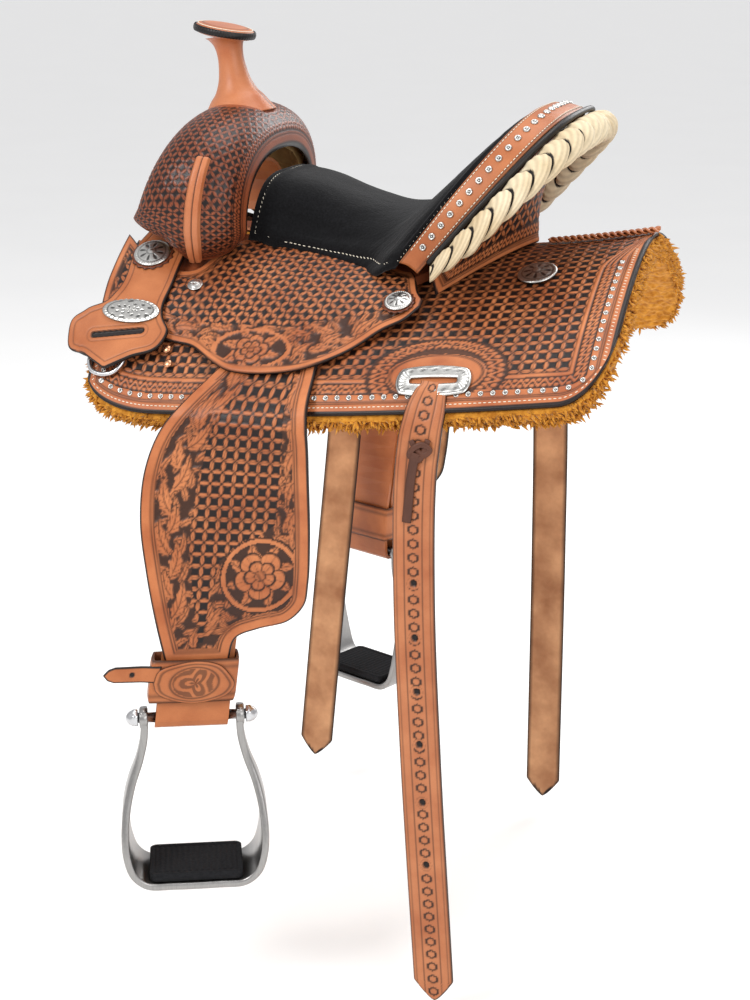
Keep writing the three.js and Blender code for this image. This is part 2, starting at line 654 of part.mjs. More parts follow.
function buildLeathers() {
  const wrap = 7; // the loop's inside radius, around the bolt
  const turnStart = STIRRUP_DROP;
  const outerPly = through([[50, -5.2], [318, -5.2], [345, 1.5], [turnStart, wrap]]);
  const innerPly = through([[120, -10.6], [300, -10.6], [335, -11.5], [turnStart, -wrap]]);
  const downShare = 0.44;
  const turnShare = 0.14;
  const path = (k) => {
    if (k < downShare) {
      const s = mix(50, turnStart, k / downShare);
      return [s, outerPly(s)];
    }
    if (k < downShare + turnShare) {
      const angle = Math.PI * ((k - downShare) / turnShare);
      return [turnStart + wrap * Math.sin(angle), wrap * Math.cos(angle)];
    }
    const s = mix(turnStart, 120, (k - downShare - turnShare) / (1 - downShare - turnShare));
    return [s, innerPly(s)];
  };
  for (const [name, side] of Object.entries(SIDES)) {
    const hanger = (n) => (u, v) => legPoint(side, mix(-4, 34, u), mix(-STRAP_HALF, STRAP_HALF, v), n);
    add(`${name}_stirrup_leather`, slab(2, 1, hanger(-1), hanger(-5)), paint.darkTan);
    add(`${name}_stirrup_loop`, strapAlongLeg(side, path, STRAP_HALF, 4, 36), paint.plain);
  }
}

// The outline of a strap that wraps the leathers, in the w-n plane.
function roundedRing(halfWidth, outerN, innerN, wall) {
  const round = (path, left, right, low, high, corner) => {
    path.moveTo(left + corner, low);
    path.absarc(right - corner, low + corner, corner, -Math.PI / 2, 0);
    path.absarc(right - corner, high - corner, corner, 0, Math.PI / 2);
    path.absarc(left + corner, high - corner, corner, Math.PI / 2, Math.PI);
    path.absarc(left + corner, low + corner, corner, Math.PI, 1.5 * Math.PI);
    return path;
  };
  const outline = round(new THREE.Shape(), -halfWidth, halfWidth, innerN, outerN, 5);
  outline.holes.push(round(new THREE.Path(), -halfWidth + wall, halfWidth - wall, innerN + wall, outerN - wall, 1.5));
  return outline;
}

// The hobble strap binds the fender's end and both plies of the leather, and its tongue points forward.
function buildHobbleStraps() {
  const { top, bottom, halfWidth, outer, inner, wall, tongueLength } = HOBBLE;
  const band = new THREE.ExtrudeGeometry(roundedRing(halfWidth, outer, inner, wall), {
    depth: bottom - top, bevelEnabled: false, curveSegments: 3,
  });
  const tongue = new THREE.BoxGeometry(tongueLength, wall, 18);
  tongue.translate(-halfWidth - tongueLength / 2 + 8, outer - wall / 2 - 0.1, 12);
  const strap = toManifold(band).add(toManifold(tongue)).getMesh();
  const faces = Array.from({ length: strap.triVerts.length / 3 }, (_, k) => [...strap.triVerts.slice(3 * k, 3 * k + 3)]);
  for (const [name, side] of Object.entries(SIDES)) {
    const points = Array.from({ length: strap.vertProperties.length / 3 }, (_, k) => {
      const [w, n, drop] = strap.vertProperties.slice(3 * k, 3 * k + 3);
      return legPoint(side, top + drop, w - 3, n);
    });
    add(`${name}_hobble_strap`, closedBody(points, faces), paint.plain);
  }
}

// The local frame of a stirrup: x across the stirrup to the rear, y out of the saddle on the right side and
// into it on the left, z up, with its origin on the bolt.
function stirrupGroup(side) {
  const group = new THREE.Group();
  group.position.copy(legPoint(side, STIRRUP_DROP, 0, 0));
  group.rotation.z = -side * radians(LEG.twist);
  root.add(group);
  return group;
}

function stirrupFrame() {
  const half = [[51, 7], [51.5, -22], [57, -46], [66, -72], [72, -98], [74.5, -124], [73, -148], [66, -169], [52, -180.5], [25, -182]];
  const left = half.map(([w, z]) => point(-w, 0, z));
  const right = half.map(([w, z]) => point(w, 0, z)).reverse();
  const curve = new THREE.CatmullRomCurve3([...left, ...right], false, "centripetal");
  const steps = 26;
  const rings = [];
  for (let k = 0; k <= steps; k += 1) {
    const centre = curve.getPoint(k / steps);
    const tangent = curve.getTangent(k / steps);
    const normal = point(-tangent.z, 0, tangent.x).multiplyScalar(STIRRUP.barThickness / 2);
    const depth = mix(STIRRUP.eyeDepth, STIRRUP.treadDepth, smooth((-30 - centre.z) / 130)) / 2;
    const across = point(0, depth, 0);
    const corners = [[1, 1], [1, -1], [-1, -1], [-1, 1]];
    rings.push(corners.map(([a, b]) => centre.clone().addScaledVector(normal, a).addScaledVector(across, b)));
  }
  let frame = toManifold(loft(rings));
  for (const sign of [-1, 1]) {
    const eye = new THREE.CylinderGeometry(STIRRUP.eyeRadius, STIRRUP.eyeRadius, STIRRUP.barThickness, 14);
    eye.rotateZ(Math.PI / 2);
    eye.translate(51 * sign, 0, 0);
    frame = frame.add(toManifold(eye));
  }
  const hole = new THREE.CylinderGeometry(STIRRUP.boltRadius + 0.5, STIRRUP.boltRadius + 0.5, 140, 12);
  hole.rotateZ(Math.PI / 2);
  return fromManifold(frame.subtract(toManifold(hole)));
}

function boltProfile() {
  const { boltRadius, boltHalf } = STIRRUP;
  const nut = [[boltRadius, 0], [8.5, 0], [8.5, 6], [7, 10], [3.5, 12.5], [0, 13.2]];
  const upper = nut.map(([r, y]) => [r, boltHalf + y]);
  const lower = nut.map(([r, y]) => [r, -boltHalf - y]).reverse();
  return [...lower, ...upper];
}

function buildStirrups() {
  for (const [name, side] of Object.entries(SIDES)) {
    const group = stirrupGroup(side);
    add(`${name}_stirrup_frame`, stirrupFrame(), paint.aluminium, group);
    const tread = new THREE.Shape();
    const { halfWidth, halfDepth } = TREAD;
    tread.moveTo(-halfWidth + 8, -halfDepth);
    tread.absarc(halfWidth - 8, -halfDepth + 8, 8, -Math.PI / 2, 0);
    tread.absarc(halfWidth - 8, halfDepth - 8, 8, 0, Math.PI / 2);
    tread.absarc(-halfWidth + 8, halfDepth - 8, 8, Math.PI / 2, Math.PI);
    tread.absarc(-halfWidth + 8, -halfDepth + 8, 8, Math.PI, 1.5 * Math.PI);
    const rubber = new THREE.ExtrudeGeometry(tread, { depth: TREAD.top - TREAD.bottom, bevelEnabled: false, curveSegments: 3 });
    rubber.translate(0, 0, TREAD.bottom);
    add(`${name}_stirrup_tread`, rubber, paint.rubber, group);
    const bolt = lathe(boltProfile(), 14);
    bolt.rotateZ(Math.PI / 2);
    add(`${name}_stirrup_bolt`, bolt, paint.silver, group);
  }
}

// ---------------------------------------------------------------- billets

// A flat strap in the x-z plane along a centre line, from its square top to its pointed tip.
function billet(centre, holes) {
  const curve = new THREE.CatmullRomCurve3(centre.map(([x, z]) => point(x, 0, z)), false, "centripetal");
  const steps = 12;
  const left = [];
  const right = [];
  for (let k = 0; k <= steps; k += 1) {
    const place = curve.getPoint(k / steps);
    const tangent = curve.getTangent(k / steps);
    const side = point(-tangent.z, 0, tangent.x).multiplyScalar(BILLET.width / 2);
    left.push(place.clone().add(side));
    right.push(place.clone().sub(side));
  }
  const tip = curve.getPoint(1).addScaledVector(curve.getTangent(1), BILLET.tip);
  const outline = [...left, tip, ...right.reverse()];
  const shape = new THREE.Shape(outline.map((p) => new THREE.Vector2(p.x, p.z)));
  for (const share of holes) {
    const place = curve.getPointAt(share);
    const hole = new THREE.Path();
    hole.absarc(place.x, place.z, BILLET.holeRadius, 0, 2 * Math.PI);
    shape.holes.push(hole);
  }
  const strap = new THREE.ExtrudeGeometry(shape, { depth: BILLET.thickness, bevelEnabled: false, curveSegments: 3 });
  strap.rotateX(Math.PI / 2);
  return strap;
}

function buildBillets() {
  const rearHoles = [0.31, 0.4, 0.49, 0.58, 0.68, 0.79];
  const left = billet([[110, -66], [99, -150], [98, -280], [106, -460], [123, -724]], rearHoles);
  left.translate(0, -261.5, 0);
  add("left_rear_billet", left, paint.plain);
  const right = billet([[108, -66], [116, -200], [119, -400], [120, -722]], rearHoles);
  right.translate(0, 261.5 + BILLET.thickness, 0);
  add("right_rear_billet", right, paint.plain);
  const front = billet([[-135, -141], [-150, -300], [-168, -480], [-188, -690]], [0.35, 0.46, 0.57, 0.68, 0.79]);
  front.translate(0, 226 + BILLET.thickness, 0);
  add("right_front_billet", front, paint.plain);
}

buildSkirts();
buildTree();
buildSeat();
buildJockeys();
buildSwell();
buildHorn();
buildCantle();
buildBraid();
buildLatigoPlates();
buildSlotPlates();
buildConchos();
buildDees();
buildFenders();
buildLeathers();
buildHobbleStraps();
buildStirrups();
buildBillets();

export default root;
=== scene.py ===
"""A western saddle: detailed leather, metal, fleece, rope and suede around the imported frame. Lengths are in
millimetres until a mesh is made."""
import bpy
import math
import numpy as np
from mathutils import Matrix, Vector


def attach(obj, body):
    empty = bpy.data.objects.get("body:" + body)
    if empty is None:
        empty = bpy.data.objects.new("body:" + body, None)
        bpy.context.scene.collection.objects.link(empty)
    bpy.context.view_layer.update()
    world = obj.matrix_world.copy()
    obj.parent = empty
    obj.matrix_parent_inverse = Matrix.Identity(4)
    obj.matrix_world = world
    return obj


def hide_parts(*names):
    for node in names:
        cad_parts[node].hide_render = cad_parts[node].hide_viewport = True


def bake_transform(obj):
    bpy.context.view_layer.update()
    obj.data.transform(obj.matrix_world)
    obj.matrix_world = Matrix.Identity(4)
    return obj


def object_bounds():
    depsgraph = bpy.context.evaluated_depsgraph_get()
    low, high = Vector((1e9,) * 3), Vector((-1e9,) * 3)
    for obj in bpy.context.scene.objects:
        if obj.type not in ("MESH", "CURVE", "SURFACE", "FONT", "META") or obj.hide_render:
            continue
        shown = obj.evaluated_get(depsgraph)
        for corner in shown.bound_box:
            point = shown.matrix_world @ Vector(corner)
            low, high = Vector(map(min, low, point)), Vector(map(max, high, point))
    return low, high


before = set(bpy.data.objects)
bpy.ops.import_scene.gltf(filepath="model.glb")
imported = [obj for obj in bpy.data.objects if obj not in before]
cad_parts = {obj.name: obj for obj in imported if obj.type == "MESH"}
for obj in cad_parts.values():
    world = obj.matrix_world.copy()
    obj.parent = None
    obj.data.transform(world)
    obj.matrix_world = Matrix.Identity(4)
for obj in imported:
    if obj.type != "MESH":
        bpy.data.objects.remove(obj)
CAD_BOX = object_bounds()
MM = 0.001
SIDES = {"left": -1, "right": 1}
rng = np.random.default_rng(7)

# ------------------------------------------------------------------ small maths


def smooth(t):
    t = np.clip(t, 0, 1)
    return t * t * (3 - 2 * t)


def mix(a, b, t):
    return a + (b - a) * t


def spline(points, per=12):
    """Points along a centripetal Catmull-Rom curve."""
    p = np.array(points, float)
    ext = np.vstack([2 * p[0] - p[1], p, 2 * p[-1] - p[-2]])
    out = []
    s = np.linspace(0, 1, per, endpoint=False)[:, None]
    for i in range(len(p) - 1):
        p0, p1, p2, p3 = ext[i:i + 4]
        d0, d1, d2 = [max(np.linalg.norm(b - a) ** 0.5, 1e-4) for a, b in ((p0, p1), (p1, p2), (p2, p3))]
        t1 = ((p1 - p0) / d0 - (p2 - p0) / (d0 + d1) + (p2 - p1) / d1) * d1
        t2 = ((p2 - p1) / d1 - (p3 - p1) / (d1 + d2) + (p3 - p2) / d2) * d1
        out.append(p1 * (2 * s ** 3 - 3 * s ** 2 + 1) + t1 * (s ** 3 - 2 * s ** 2 + s)
                   + p2 * (3 * s ** 2 - 2 * s ** 3) + t2 * (s ** 3 - s ** 2))
    out.append(p[-1:])
    return np.vstack(out)


def through(pairs):
    c = spline(pairs)
    return lambda x: np.interp(x, c[:, 0], c[:, 1])


def unit(v):
    return v / np.maximum(np.linalg.norm(v, axis=-1, keepdims=True), 1e-9)


def noise2(a, b, scale, seed=0):
    """Smooth value noise from -1 to 1."""
    table = np.random.default_rng(seed).uniform(-1, 1, (64, 64))
    x, y = np.asarray(a) / scale + 31.3, np.asarray(b) / scale + 17.7
    i, j = np.floor(x).astype(int), np.floor(y).astype(int)
    fx, fy = smooth(x - i), smooth(y - j)
    at = lambda m, n: table[m % 64, n % 64]
    return mix(mix(at(i, j), at(i + 1, j), fx), mix(at(i, j + 1), at(i + 1, j + 1), fx), fy)


# ------------------------------------------------------------------ the saddle's surfaces, as in the CAD

SECTION_X = (-280.0, 20.0, 284.0)
CROWN_HEIGHT = (52, 30, 57)
HALF_WIDTH = (236, 256, 252)
EDGE_HEIGHT = (-124, -101, -68)
EDGE_SLOPE = (62, 57, 42)
CROWN_REACH = (92, 92, 100)
EDGE_REACH = (85, 75, 60)


def along(values, x):
    f, m, r = SECTION_X
    return (values[0] * (x - m) * (x - r) / ((f - m) * (f - r)) + values[1] * (x - f) * (x - r) / ((m - f) * (m - r))
            + values[2] * (x - f) * (x - m) / ((r - f) * (r - m)))


def saddle_point(side, x, t, h=0.0):
    x, t, h = np.broadcast_arrays(np.asarray(x, float), np.asarray(t, float), np.asarray(h, float))
    slope = np.radians(along(EDGE_SLOPE, x))
    zc = along(CROWN_HEIGHT, x)
    reach = along(EDGE_REACH, x)
    yb, zb = along(HALF_WIDTH, x), along(EDGE_HEIGHT, x)
    py = [0 * x, along(CROWN_REACH, x), yb - reach * np.cos(slope), yb]
    pz = [zc, zc, zb + reach * np.sin(slope), zb]
    s = np.clip(t, 0, 1)
    w = [(1 - s) ** 3, 3 * s * (1 - s) ** 2, 3 * s * s * (1 - s), s ** 3]
    y = sum(a * b for a, b in zip(w, py))
    z = sum(a * b for a, b in zip(w, pz))
    dw = [-3 * (1 - s) ** 2, 3 * (1 - s) ** 2 - 6 * s * (1 - s), 6 * s * (1 - s) - 3 * s * s, 3 * s * s]
    ty = sum(a * b for a, b in zip(dw, py))
    tz = sum(a * b for a, b in zip(dw, pz))
    n = np.hypot(ty, tz)
    ty, tz = ty / n, tz / n
    y = y + ty * (t - s) * 3 * reach - tz * h
    z = z + tz * (t - s) * 3 * reach + ty * h
    return np.stack([x, side * np.maximum(y, 0.4), z], -1)


def saddle_place(side, x, t, h):
    """(origin, normal, rearward direction) on the saddle's side."""
    o = saddle_point(side, x, t, h)
    n = unit(saddle_point(side, x, t, h + 1) - o)
    return o, n, unit(saddle_point(side, x + 1, t, h) - o)


def ground_level(x, y, h):
    low, high = np.zeros_like(x), np.full_like(x, 1.2)
    for _ in range(18):
        t = (low + high) / 2
        less = saddle_point(1, x, t, h)[..., 1] < np.abs(y)
        low, high = np.where(less, t, low), np.where(less, high, t)
    return saddle_point(1, x, low, h)[..., 2]


def skirt_patch(u, v, overhang=0.0):
    x = mix(-285, 284, u - 0.085 * np.sin(2 * np.pi * u))
    front = 0.16 * (1 - np.sqrt(1 - np.clip((-200 - x) / 86, 0, 1) ** 2))
    rear = 0.44 * (1 - np.sqrt(1 - np.clip((x - 238) / 46.5, 0, 1) ** 2))
    inner = 0.27 * smooth((-120 - x) / 165)
    return x, mix(inner, 1 - front - rear + overhang, v)


UPPER = through([[-286, .31], [-250, .4], [-195, .44], [-152, .3], [-100, .265], [-50, .3], [0, .38],
                 [38, .45], [58, .46], [74, .52]])
LOWER = through([[-286, .6], [-245, .66], [-198, .71], [-168, .73], [-140, .79], [-112, .832], [-50, .83],
                 [-12, .785], [38, .645],
                 [62, .598], [74, .55]])


def jockey_height(x, t):
    over = smooth((x + 180) / 45) * (1 - smooth((x + 25) / 50))
    return mix(14, 1.8 + 5.5 * over, smooth((t - 0.5) / 0.24))


PLATE_FRONT = through([[.24, -257], [.3, -262], [.4, -267], [.5, -264], [.58, -272], [.64, -300],
                       [.7, -315], [.76, -312], [.8, -288],
                       [.845, -262]])
PLATE_REAR = through([[.24, -252], [.3, -232], [.4, -208], [.5, -207], [.6, -210], [.7, -196], [.75, -201],
                      [.8, -232], [.845, -258]])


def plate_height(t):
    return mix(20, 11.5, smooth((t - 0.45) / 0.3))


SWELL = dict(half=152, top=183, shoulder=85, foot=20, waist=26, front=-271, front_lean=0.3, rear=-146,
             rear_lean=0.05)


def swell_point(around, fore, inset=0.0):
    around, fore = np.broadcast_arrays(np.asarray(around, float), np.asarray(fore, float))
    w, span, lobe = SWELL, np.abs(around), 0.62
    wide = w["half"] - inset
    a = np.clip(span / lobe, 0, 1) * np.pi / 2
    down = np.clip((span - lobe) / (1 - lobe), 0, 1)
    y = np.where(down > 0, wide - w["waist"] * down ** 2, wide * np.sin(a) ** 0.85)
    z = np.where(down > 0, mix(w["shoulder"], w["foot"], down),
                 w["shoulder"] + (w["top"] - inset - w["shoulder"]) * np.maximum(np.cos(a), 0) ** 0.9)
    taper = 1 - 0.3 * smooth((60 - z) / 60)
    front = w["front"] + w["front_lean"] * np.maximum(0, z - 60) + inset
    rear = w["rear"] + w["rear_lean"] * z - inset
    ang = fore * np.pi / 2
    ratio = mix(0.66, 1, np.maximum(np.cos(ang), 0) ** 0.62)
    x = (front + rear) / 2 + (rear - front) / 2 * taper * np.sin(ang)
    wall = 36 + (np.maximum(z, w["shoulder"]) - 36) * ratio
    level = ground_level(x, y * ratio, 20.5 + 17 * smooth((-195 - x) / 40))
    return np.stack([x, np.sign(around) * y * ratio, np.where(down > 0, mix(wall, level, down), wall)], -1)


RIM = dict(x=60, y=150, z=14, run=141, rise=164, round=0.66)
BAND = dict(x=37, y=143, z=29, run=121, rise=158, round=0.7)


def cantle_line(c, v):
    a = np.abs(v) * np.pi / 2
    climb, spread = np.maximum(np.cos(a), 0) ** c["round"], np.sin(a) ** c["round"]
    return np.stack([c["x"] + c["run"] * climb, np.sign(v) * c["y"] * spread, c["z"] + c["rise"] * climb], -1)


def cantle_outward(v):
    return np.stack([np.cos(v * np.radians(74)), np.sin(v * np.radians(74)), 0 * v], -1)


def back_point(v, down):
    out = cantle_outward(v)
    top = cantle_line(RIM, v * 0.97) - 9 * out
    top[..., 2] -= 9
    across = np.abs(v * 0.97)
    x, y = mix(158, 78, across ** 1.25), 136 * across
    base = np.stack([x, np.sign(v) * y, ground_level(x, y, 3)], -1)
    hollow = 14 * np.sin(np.pi * down) * np.cos(v * np.pi / 2)
    return mix(top, base, down[..., None]) - out * hollow[..., None]


SEAT_EDGE = through([[-152, .262], [-100, .25], [-50, .285], [0, .35], [37, .44]])
SEAT_LINE = through([[-134, 112], [-90, 104], [-40, 87], [15, 76], [52, 86], [90, 122], [125, 157],
                     [158, 187]])


def seat_point(u, v, sink=0.0):
    ex = mix(-150, 37, u ** 0.85)
    edge = saddle_point(1, ex, SEAT_EDGE(ex), 21)
    lift = smooth((u - 0.72) / 0.28)
    mx = mix(-134, 158, u)
    rnd = mix(0.5, 0.7, smooth(u / 0.5))
    a = np.abs(v) * np.pi / 2
    c, s = np.maximum(np.cos(a), 0) ** rnd, np.sin(a) ** rnd
    ey, ez = mix(edge[..., 1], 143, lift), mix(edge[..., 2], 29, lift)
    return np.stack([mix(ex, mx, c), np.sign(v) * ey * s, mix(ez, SEAT_LINE(mx), c) - sink], -1)


def leg_point(side, s, w, n):
    s, w, n = np.broadcast_arrays(np.asarray(s, float), np.asarray(w, float), np.asarray(n, float))
    tw = np.radians(24) * np.clip((s - 60) / 240, 0, 1)
    x = -100 - 38 / 390 * s + w * np.cos(tw) + n * np.sin(tw)
    y = 264 + 40 / 390 * s - w * np.sin(tw) + n * np.cos(tw)
    return np.stack([x, side * y, -60 - s], -1)


# ------------------------------------------------------------------ materials


def nodes_of(name, roughness=0.5, metallic=0.0):
    m = bpy.data.materials.new(name)
    m.use_nodes = True
    t = m.node_tree
    b = t.nodes["Principled BSDF"]
    b.inputs["Roughness"].default_value = roughness
    b.inputs["Metallic"].default_value = metallic
    b.inputs["Specular IOR Level"].default_value = 0.5 if metallic else 0.32
    return m, t, b


def add_noise(t, scale, detail=4.0, kind="ShaderNodeTexNoise"):
    co = t.nodes.new("ShaderNodeTexCoord")
    n = t.nodes.new(kind)
    n.inputs["Scale"].default_value = scale
    if "Detail" in n.inputs:
        n.inputs["Detail"].default_value = detail
    t.links.new(co.outputs["Object"], n.inputs["Vector"])
    return n


def ramp(t, source, stops):
    r = t.nodes.new("ShaderNodeValToRGB")
    e = r.color_ramp.elements
    for k, (pos, col) in enumerate(stops):
        el = e[k] if k < 2 else e.new(pos)
        el.position = pos
        el.color = (*col, 1)
    t.links.new(source, r.inputs["Fac"])
    return r.outputs["Color"]


def blend_color(t, fac, a, b, kind="MIX"):
    m = t.nodes.new("ShaderNodeMix")
    m.data_type, m.blend_type = "RGBA", kind
    if isinstance(fac, float):
        m.inputs[0].default_value = fac
    else:
        t.links.new(fac, m.inputs[0])
    for k, c in ((6, a), (7, b)):
        if isinstance(c, tuple):
            m.inputs[k].default_value = (*c, 1)
        else:
            t.links.new(c, m.inputs[k])
    return m.outputs[2]


def srgb(r, g, b):
    return tuple(((c / 255 + 0.055) / 1.055) ** 2.4 if c > 10 else c / 3294 for c in (r, g, b))


def bump(t, b, source, strength, distance=0.0005):
    n = t.nodes.new("ShaderNodeBump")
    n.inputs["Strength"].default_value = strength
    n.inputs["Distance"].default_value = distance
    t.links.new(source, n.inputs["Height"])
    t.links.new(n.outputs["Normal"], b.inputs["Normal"])


def leather(name, light, dark, dye_and_shade, roughness=0.42, grain=900.0):
    """Leather that the vertex attribute "dye" darkens: stain in its carved recesses and along its cut edges, and
    painted shade in the dented holes and slots of the plain straps and plates.
    """
    m, t, b = nodes_of(name, roughness)
    cloudy = add_noise(t, 22.0)
    tone = ramp(t, cloudy.outputs["Fac"], [(0.3, dark), (0.7, light)])
    pores = add_noise(t, grain, 3.0)
    tone = blend_color(t, pores.outputs["Fac"], tone, blend_color(t, 0.22, tone, (0.02, 0.01, 0.005)))
    at = t.nodes.new("ShaderNodeAttribute")
    at.attribute_name = "dye_and_shade"
    t.links.new(blend_color(t, at.outputs["Fac"], tone, dye_and_shade), b.inputs["Base Color"])
    rough = t.nodes.new("ShaderNodeMapRange")
    rough.inputs["To Min"].default_value = roughness - 0.08
    rough.inputs["To Max"].default_value = roughness + 0.14
    t.links.new(cloudy.outputs["Fac"], rough.inputs["Value"])
    t.links.new(rough.outputs["Result"], b.inputs["Roughness"])
    bump(t, b, pores.outputs["Fac"], 0.25)
    return m


def metal(name, tone, roughness, dark=(0.01, 0.01, 0.011), brushed=0.0):
    m, t, b = nodes_of(name, roughness, 1.0)
    n = add_noise(t, 240.0 if not brushed else 60.0)
    col = ramp(t, n.outputs["Fac"], [(0.3, tuple(c * 0.82 for c in tone)), (0.75, tone)])
    at = t.nodes.new("ShaderNodeAttribute")
    at.attribute_name = "dye_and_shade"
    t.links.new(blend_color(t, at.outputs["Fac"], col, dark), b.inputs["Base Color"])
    if brushed:
        mp = t.nodes.new("ShaderNodeMapping")
        mp.inputs["Scale"].default_value = (1.0, 1.0, 0.05)
        t.links.new(n.inputs["Vector"].links[0].from_socket, mp.inputs["Vector"])
        n.inputs["Scale"].default_value = 900.0
        t.links.new(mp.outputs["Vector"], n.inputs["Vector"])
        bump(t, b, n.outputs["Fac"], brushed)
    else:
        bump(t, b, n.outputs["Fac"], 0.06)
    return m


def matte(name, light, dark, roughness, scale, strength, sheen=0.0):
    m, t, b = nodes_of(name, roughness)
    n = add_noise(t, scale, 5.0)
    t.links.new(ramp(t, n.outputs["Fac"], [(0.3, dark), (0.7, light)]), b.inputs["Base Color"])
    b.inputs["Sheen Weight"].default_value = sheen
    b.inputs["Sheen Roughness"].default_value = 0.5
    b.inputs["Specular IOR Level"].default_value = 0.12
    bump(t, b, n.outputs["Fac"], strength, 0.001)
    return m


DYE = srgb(24, 12, 9)
TOOLED = leather("tooled_leather", srgb(202, 124, 76), srgb(164, 88, 48), DYE)
SWELL_LEATHER = leather("swell_leather", srgb(158, 84, 50), srgb(122, 58, 32), DYE, 0.34)
HORN_LEATHER = leather("horn_leather", srgb(204, 132, 90), srgb(176, 98, 58), DYE, 0.34)
PLAIN = leather("plain_leather", srgb(190, 116, 70), srgb(160, 88, 48), srgb(24, 14, 10), 0.4)
BILLET_LEATHER = leather("billet_leather", srgb(194, 124, 82), srgb(166, 94, 56), srgb(26, 14, 10), 0.4)
FLESH = leather("flesh_side", srgb(206, 154, 112), srgb(150, 100, 66), srgb(30, 18, 14), 0.8, 160.0)
BLACK = leather("black_leather", srgb(30, 27, 26), srgb(20, 18, 18), srgb(10, 9, 9), 0.38)
LACE = leather("lace", srgb(92, 54, 38), srgb(66, 38, 28), srgb(30, 18, 14), 0.5)
SUEDE = matte("suede", srgb(20, 20, 22), srgb(9, 9, 10), 1.0, 420.0, 0.6, 0.08)
WOOL = matte("fleece", srgb(216, 150, 56), srgb(160, 98, 28), 1.0, 140.0, 0.8, 0.1)
ROPE_FIBRE = leather("rawhide_rope", srgb(238, 222, 190), srgb(214, 190, 150), srgb(16, 12, 10), 0.6, 300.0)
THREAD = matte("thread", srgb(236, 228, 210), srgb(206, 196, 176), 0.75, 900.0, 0.4)
SILVER = metal("engraved_silver", (0.66, 0.65, 0.62), 0.3)
STEEL = metal("steel", (0.62, 0.62, 0.63), 0.28)
ALUMINIUM = metal("aluminium", (0.36, 0.35, 0.34), 0.32, brushed=0.25)
BRASS = metal("copper", (0.72, 0.36, 0.20), 0.32)
RUBBER = matte("rubber", srgb(34, 34, 36), srgb(22, 22, 24), 0.8, 300.0, 0.3)
WOOD = matte("tree_wood", srgb(196, 164, 112), srgb(150, 116, 70), 0.75, 40.0, 0.3)

# ------------------------------------------------------------------ meshes


def piece(name, verts, faces, material, body, replaces=(), dye_and_shade=None, flat=False, back=None):
    mesh = bpy.data.meshes.new(name)
    faces = faces.tolist() if isinstance(faces, np.ndarray) else faces
    mesh.from_pydata((np.asarray(verts) * MM).tolist(), [], faces)
    mesh.validate()
    mesh.update()
    mesh.polygons.foreach_set("use_smooth", [not flat] * len(mesh.polygons))
    values = np.zeros(len(verts)) if dye_and_shade is None else np.asarray(dye_and_shade, float)
    mesh.attributes.new("dye_and_shade", "FLOAT", "POINT").data.foreach_set("value", values.astype(np.float32))
    mesh.materials.append(material)
    if back:
        mesh.materials.append(FLESH)
        first, last = back
        mesh.polygons.foreach_set("material_index",
                                  [int(first <= k < last) for k in range(len(mesh.polygons))])
    obj = bpy.data.objects.new(name, mesh)
    bpy.context.scene.collection.objects.link(obj)
    if body:
        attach(obj, body)
    if replaces:
        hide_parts(*replaces)
    return obj


def ring_of(nv, nu):
    ring = [(0, i) for i in range(nu - 1)] + [(j, nu - 1) for j in range(nv - 1)]
    ring += [(nv - 1, i) for i in range(nu - 1, 0, -1)] + [(j, 0) for j in range(nv - 1, 0, -1)]
    return np.array(ring)


def slab_mesh(top, bottom, step=4):
    """A closed slab: a fine top sheet, and a coarser bottom sheet that meets it along the whole border."""
    nv, nu = top.shape[:2]
    idx = np.arange(nv * nu).reshape(nv, nu)
    faces = np.stack([idx[:-1, :-1], idx[:-1, 1:], idx[1:, 1:], idx[1:, :-1]], -1).reshape(-1, 4).tolist()
    keep = np.zeros((nv, nu), bool)
    keep[::step, ::step] = True
    keep[0] = keep[-1] = keep[:, 0] = keep[:, -1] = True
    low = np.full((nv, nu), -1)
    low[keep] = nv * nu + np.arange(keep.sum())
    for j in range(0, nv - 1, step):
        for i in range(0, nu - 1, step):
            loop = [low[j, c] for c in (range(i, i + step) if j == 0 else (i,))]
            loop += [low[r, i + step] for r in (range(j, j + step) if i + step == nu - 1 else (j,))]
            loop += [low[j + step, c] for c in (range(i + step, i,
                                                      -1) if j + step == nv - 1 else (i + step,))]
            loop += [low[r, i] for r in (range(j + step, j, -1) if i == 0 else (j + step,))]
            faces.append([int(k) for k in loop[::-1]])
    ring = ring_of(nv, nu)
    a, b = idx[ring[:, 0], ring[:, 1]], low[ring[:, 0], ring[:, 1]]
    a2, b2 = np.roll(a, -1), np.roll(b, -1)
    faces += np.stack([a2, a, b, b2], -1).tolist()
    return np.vstack([top.reshape(-1, 3), bottom[keep]]), faces, keep


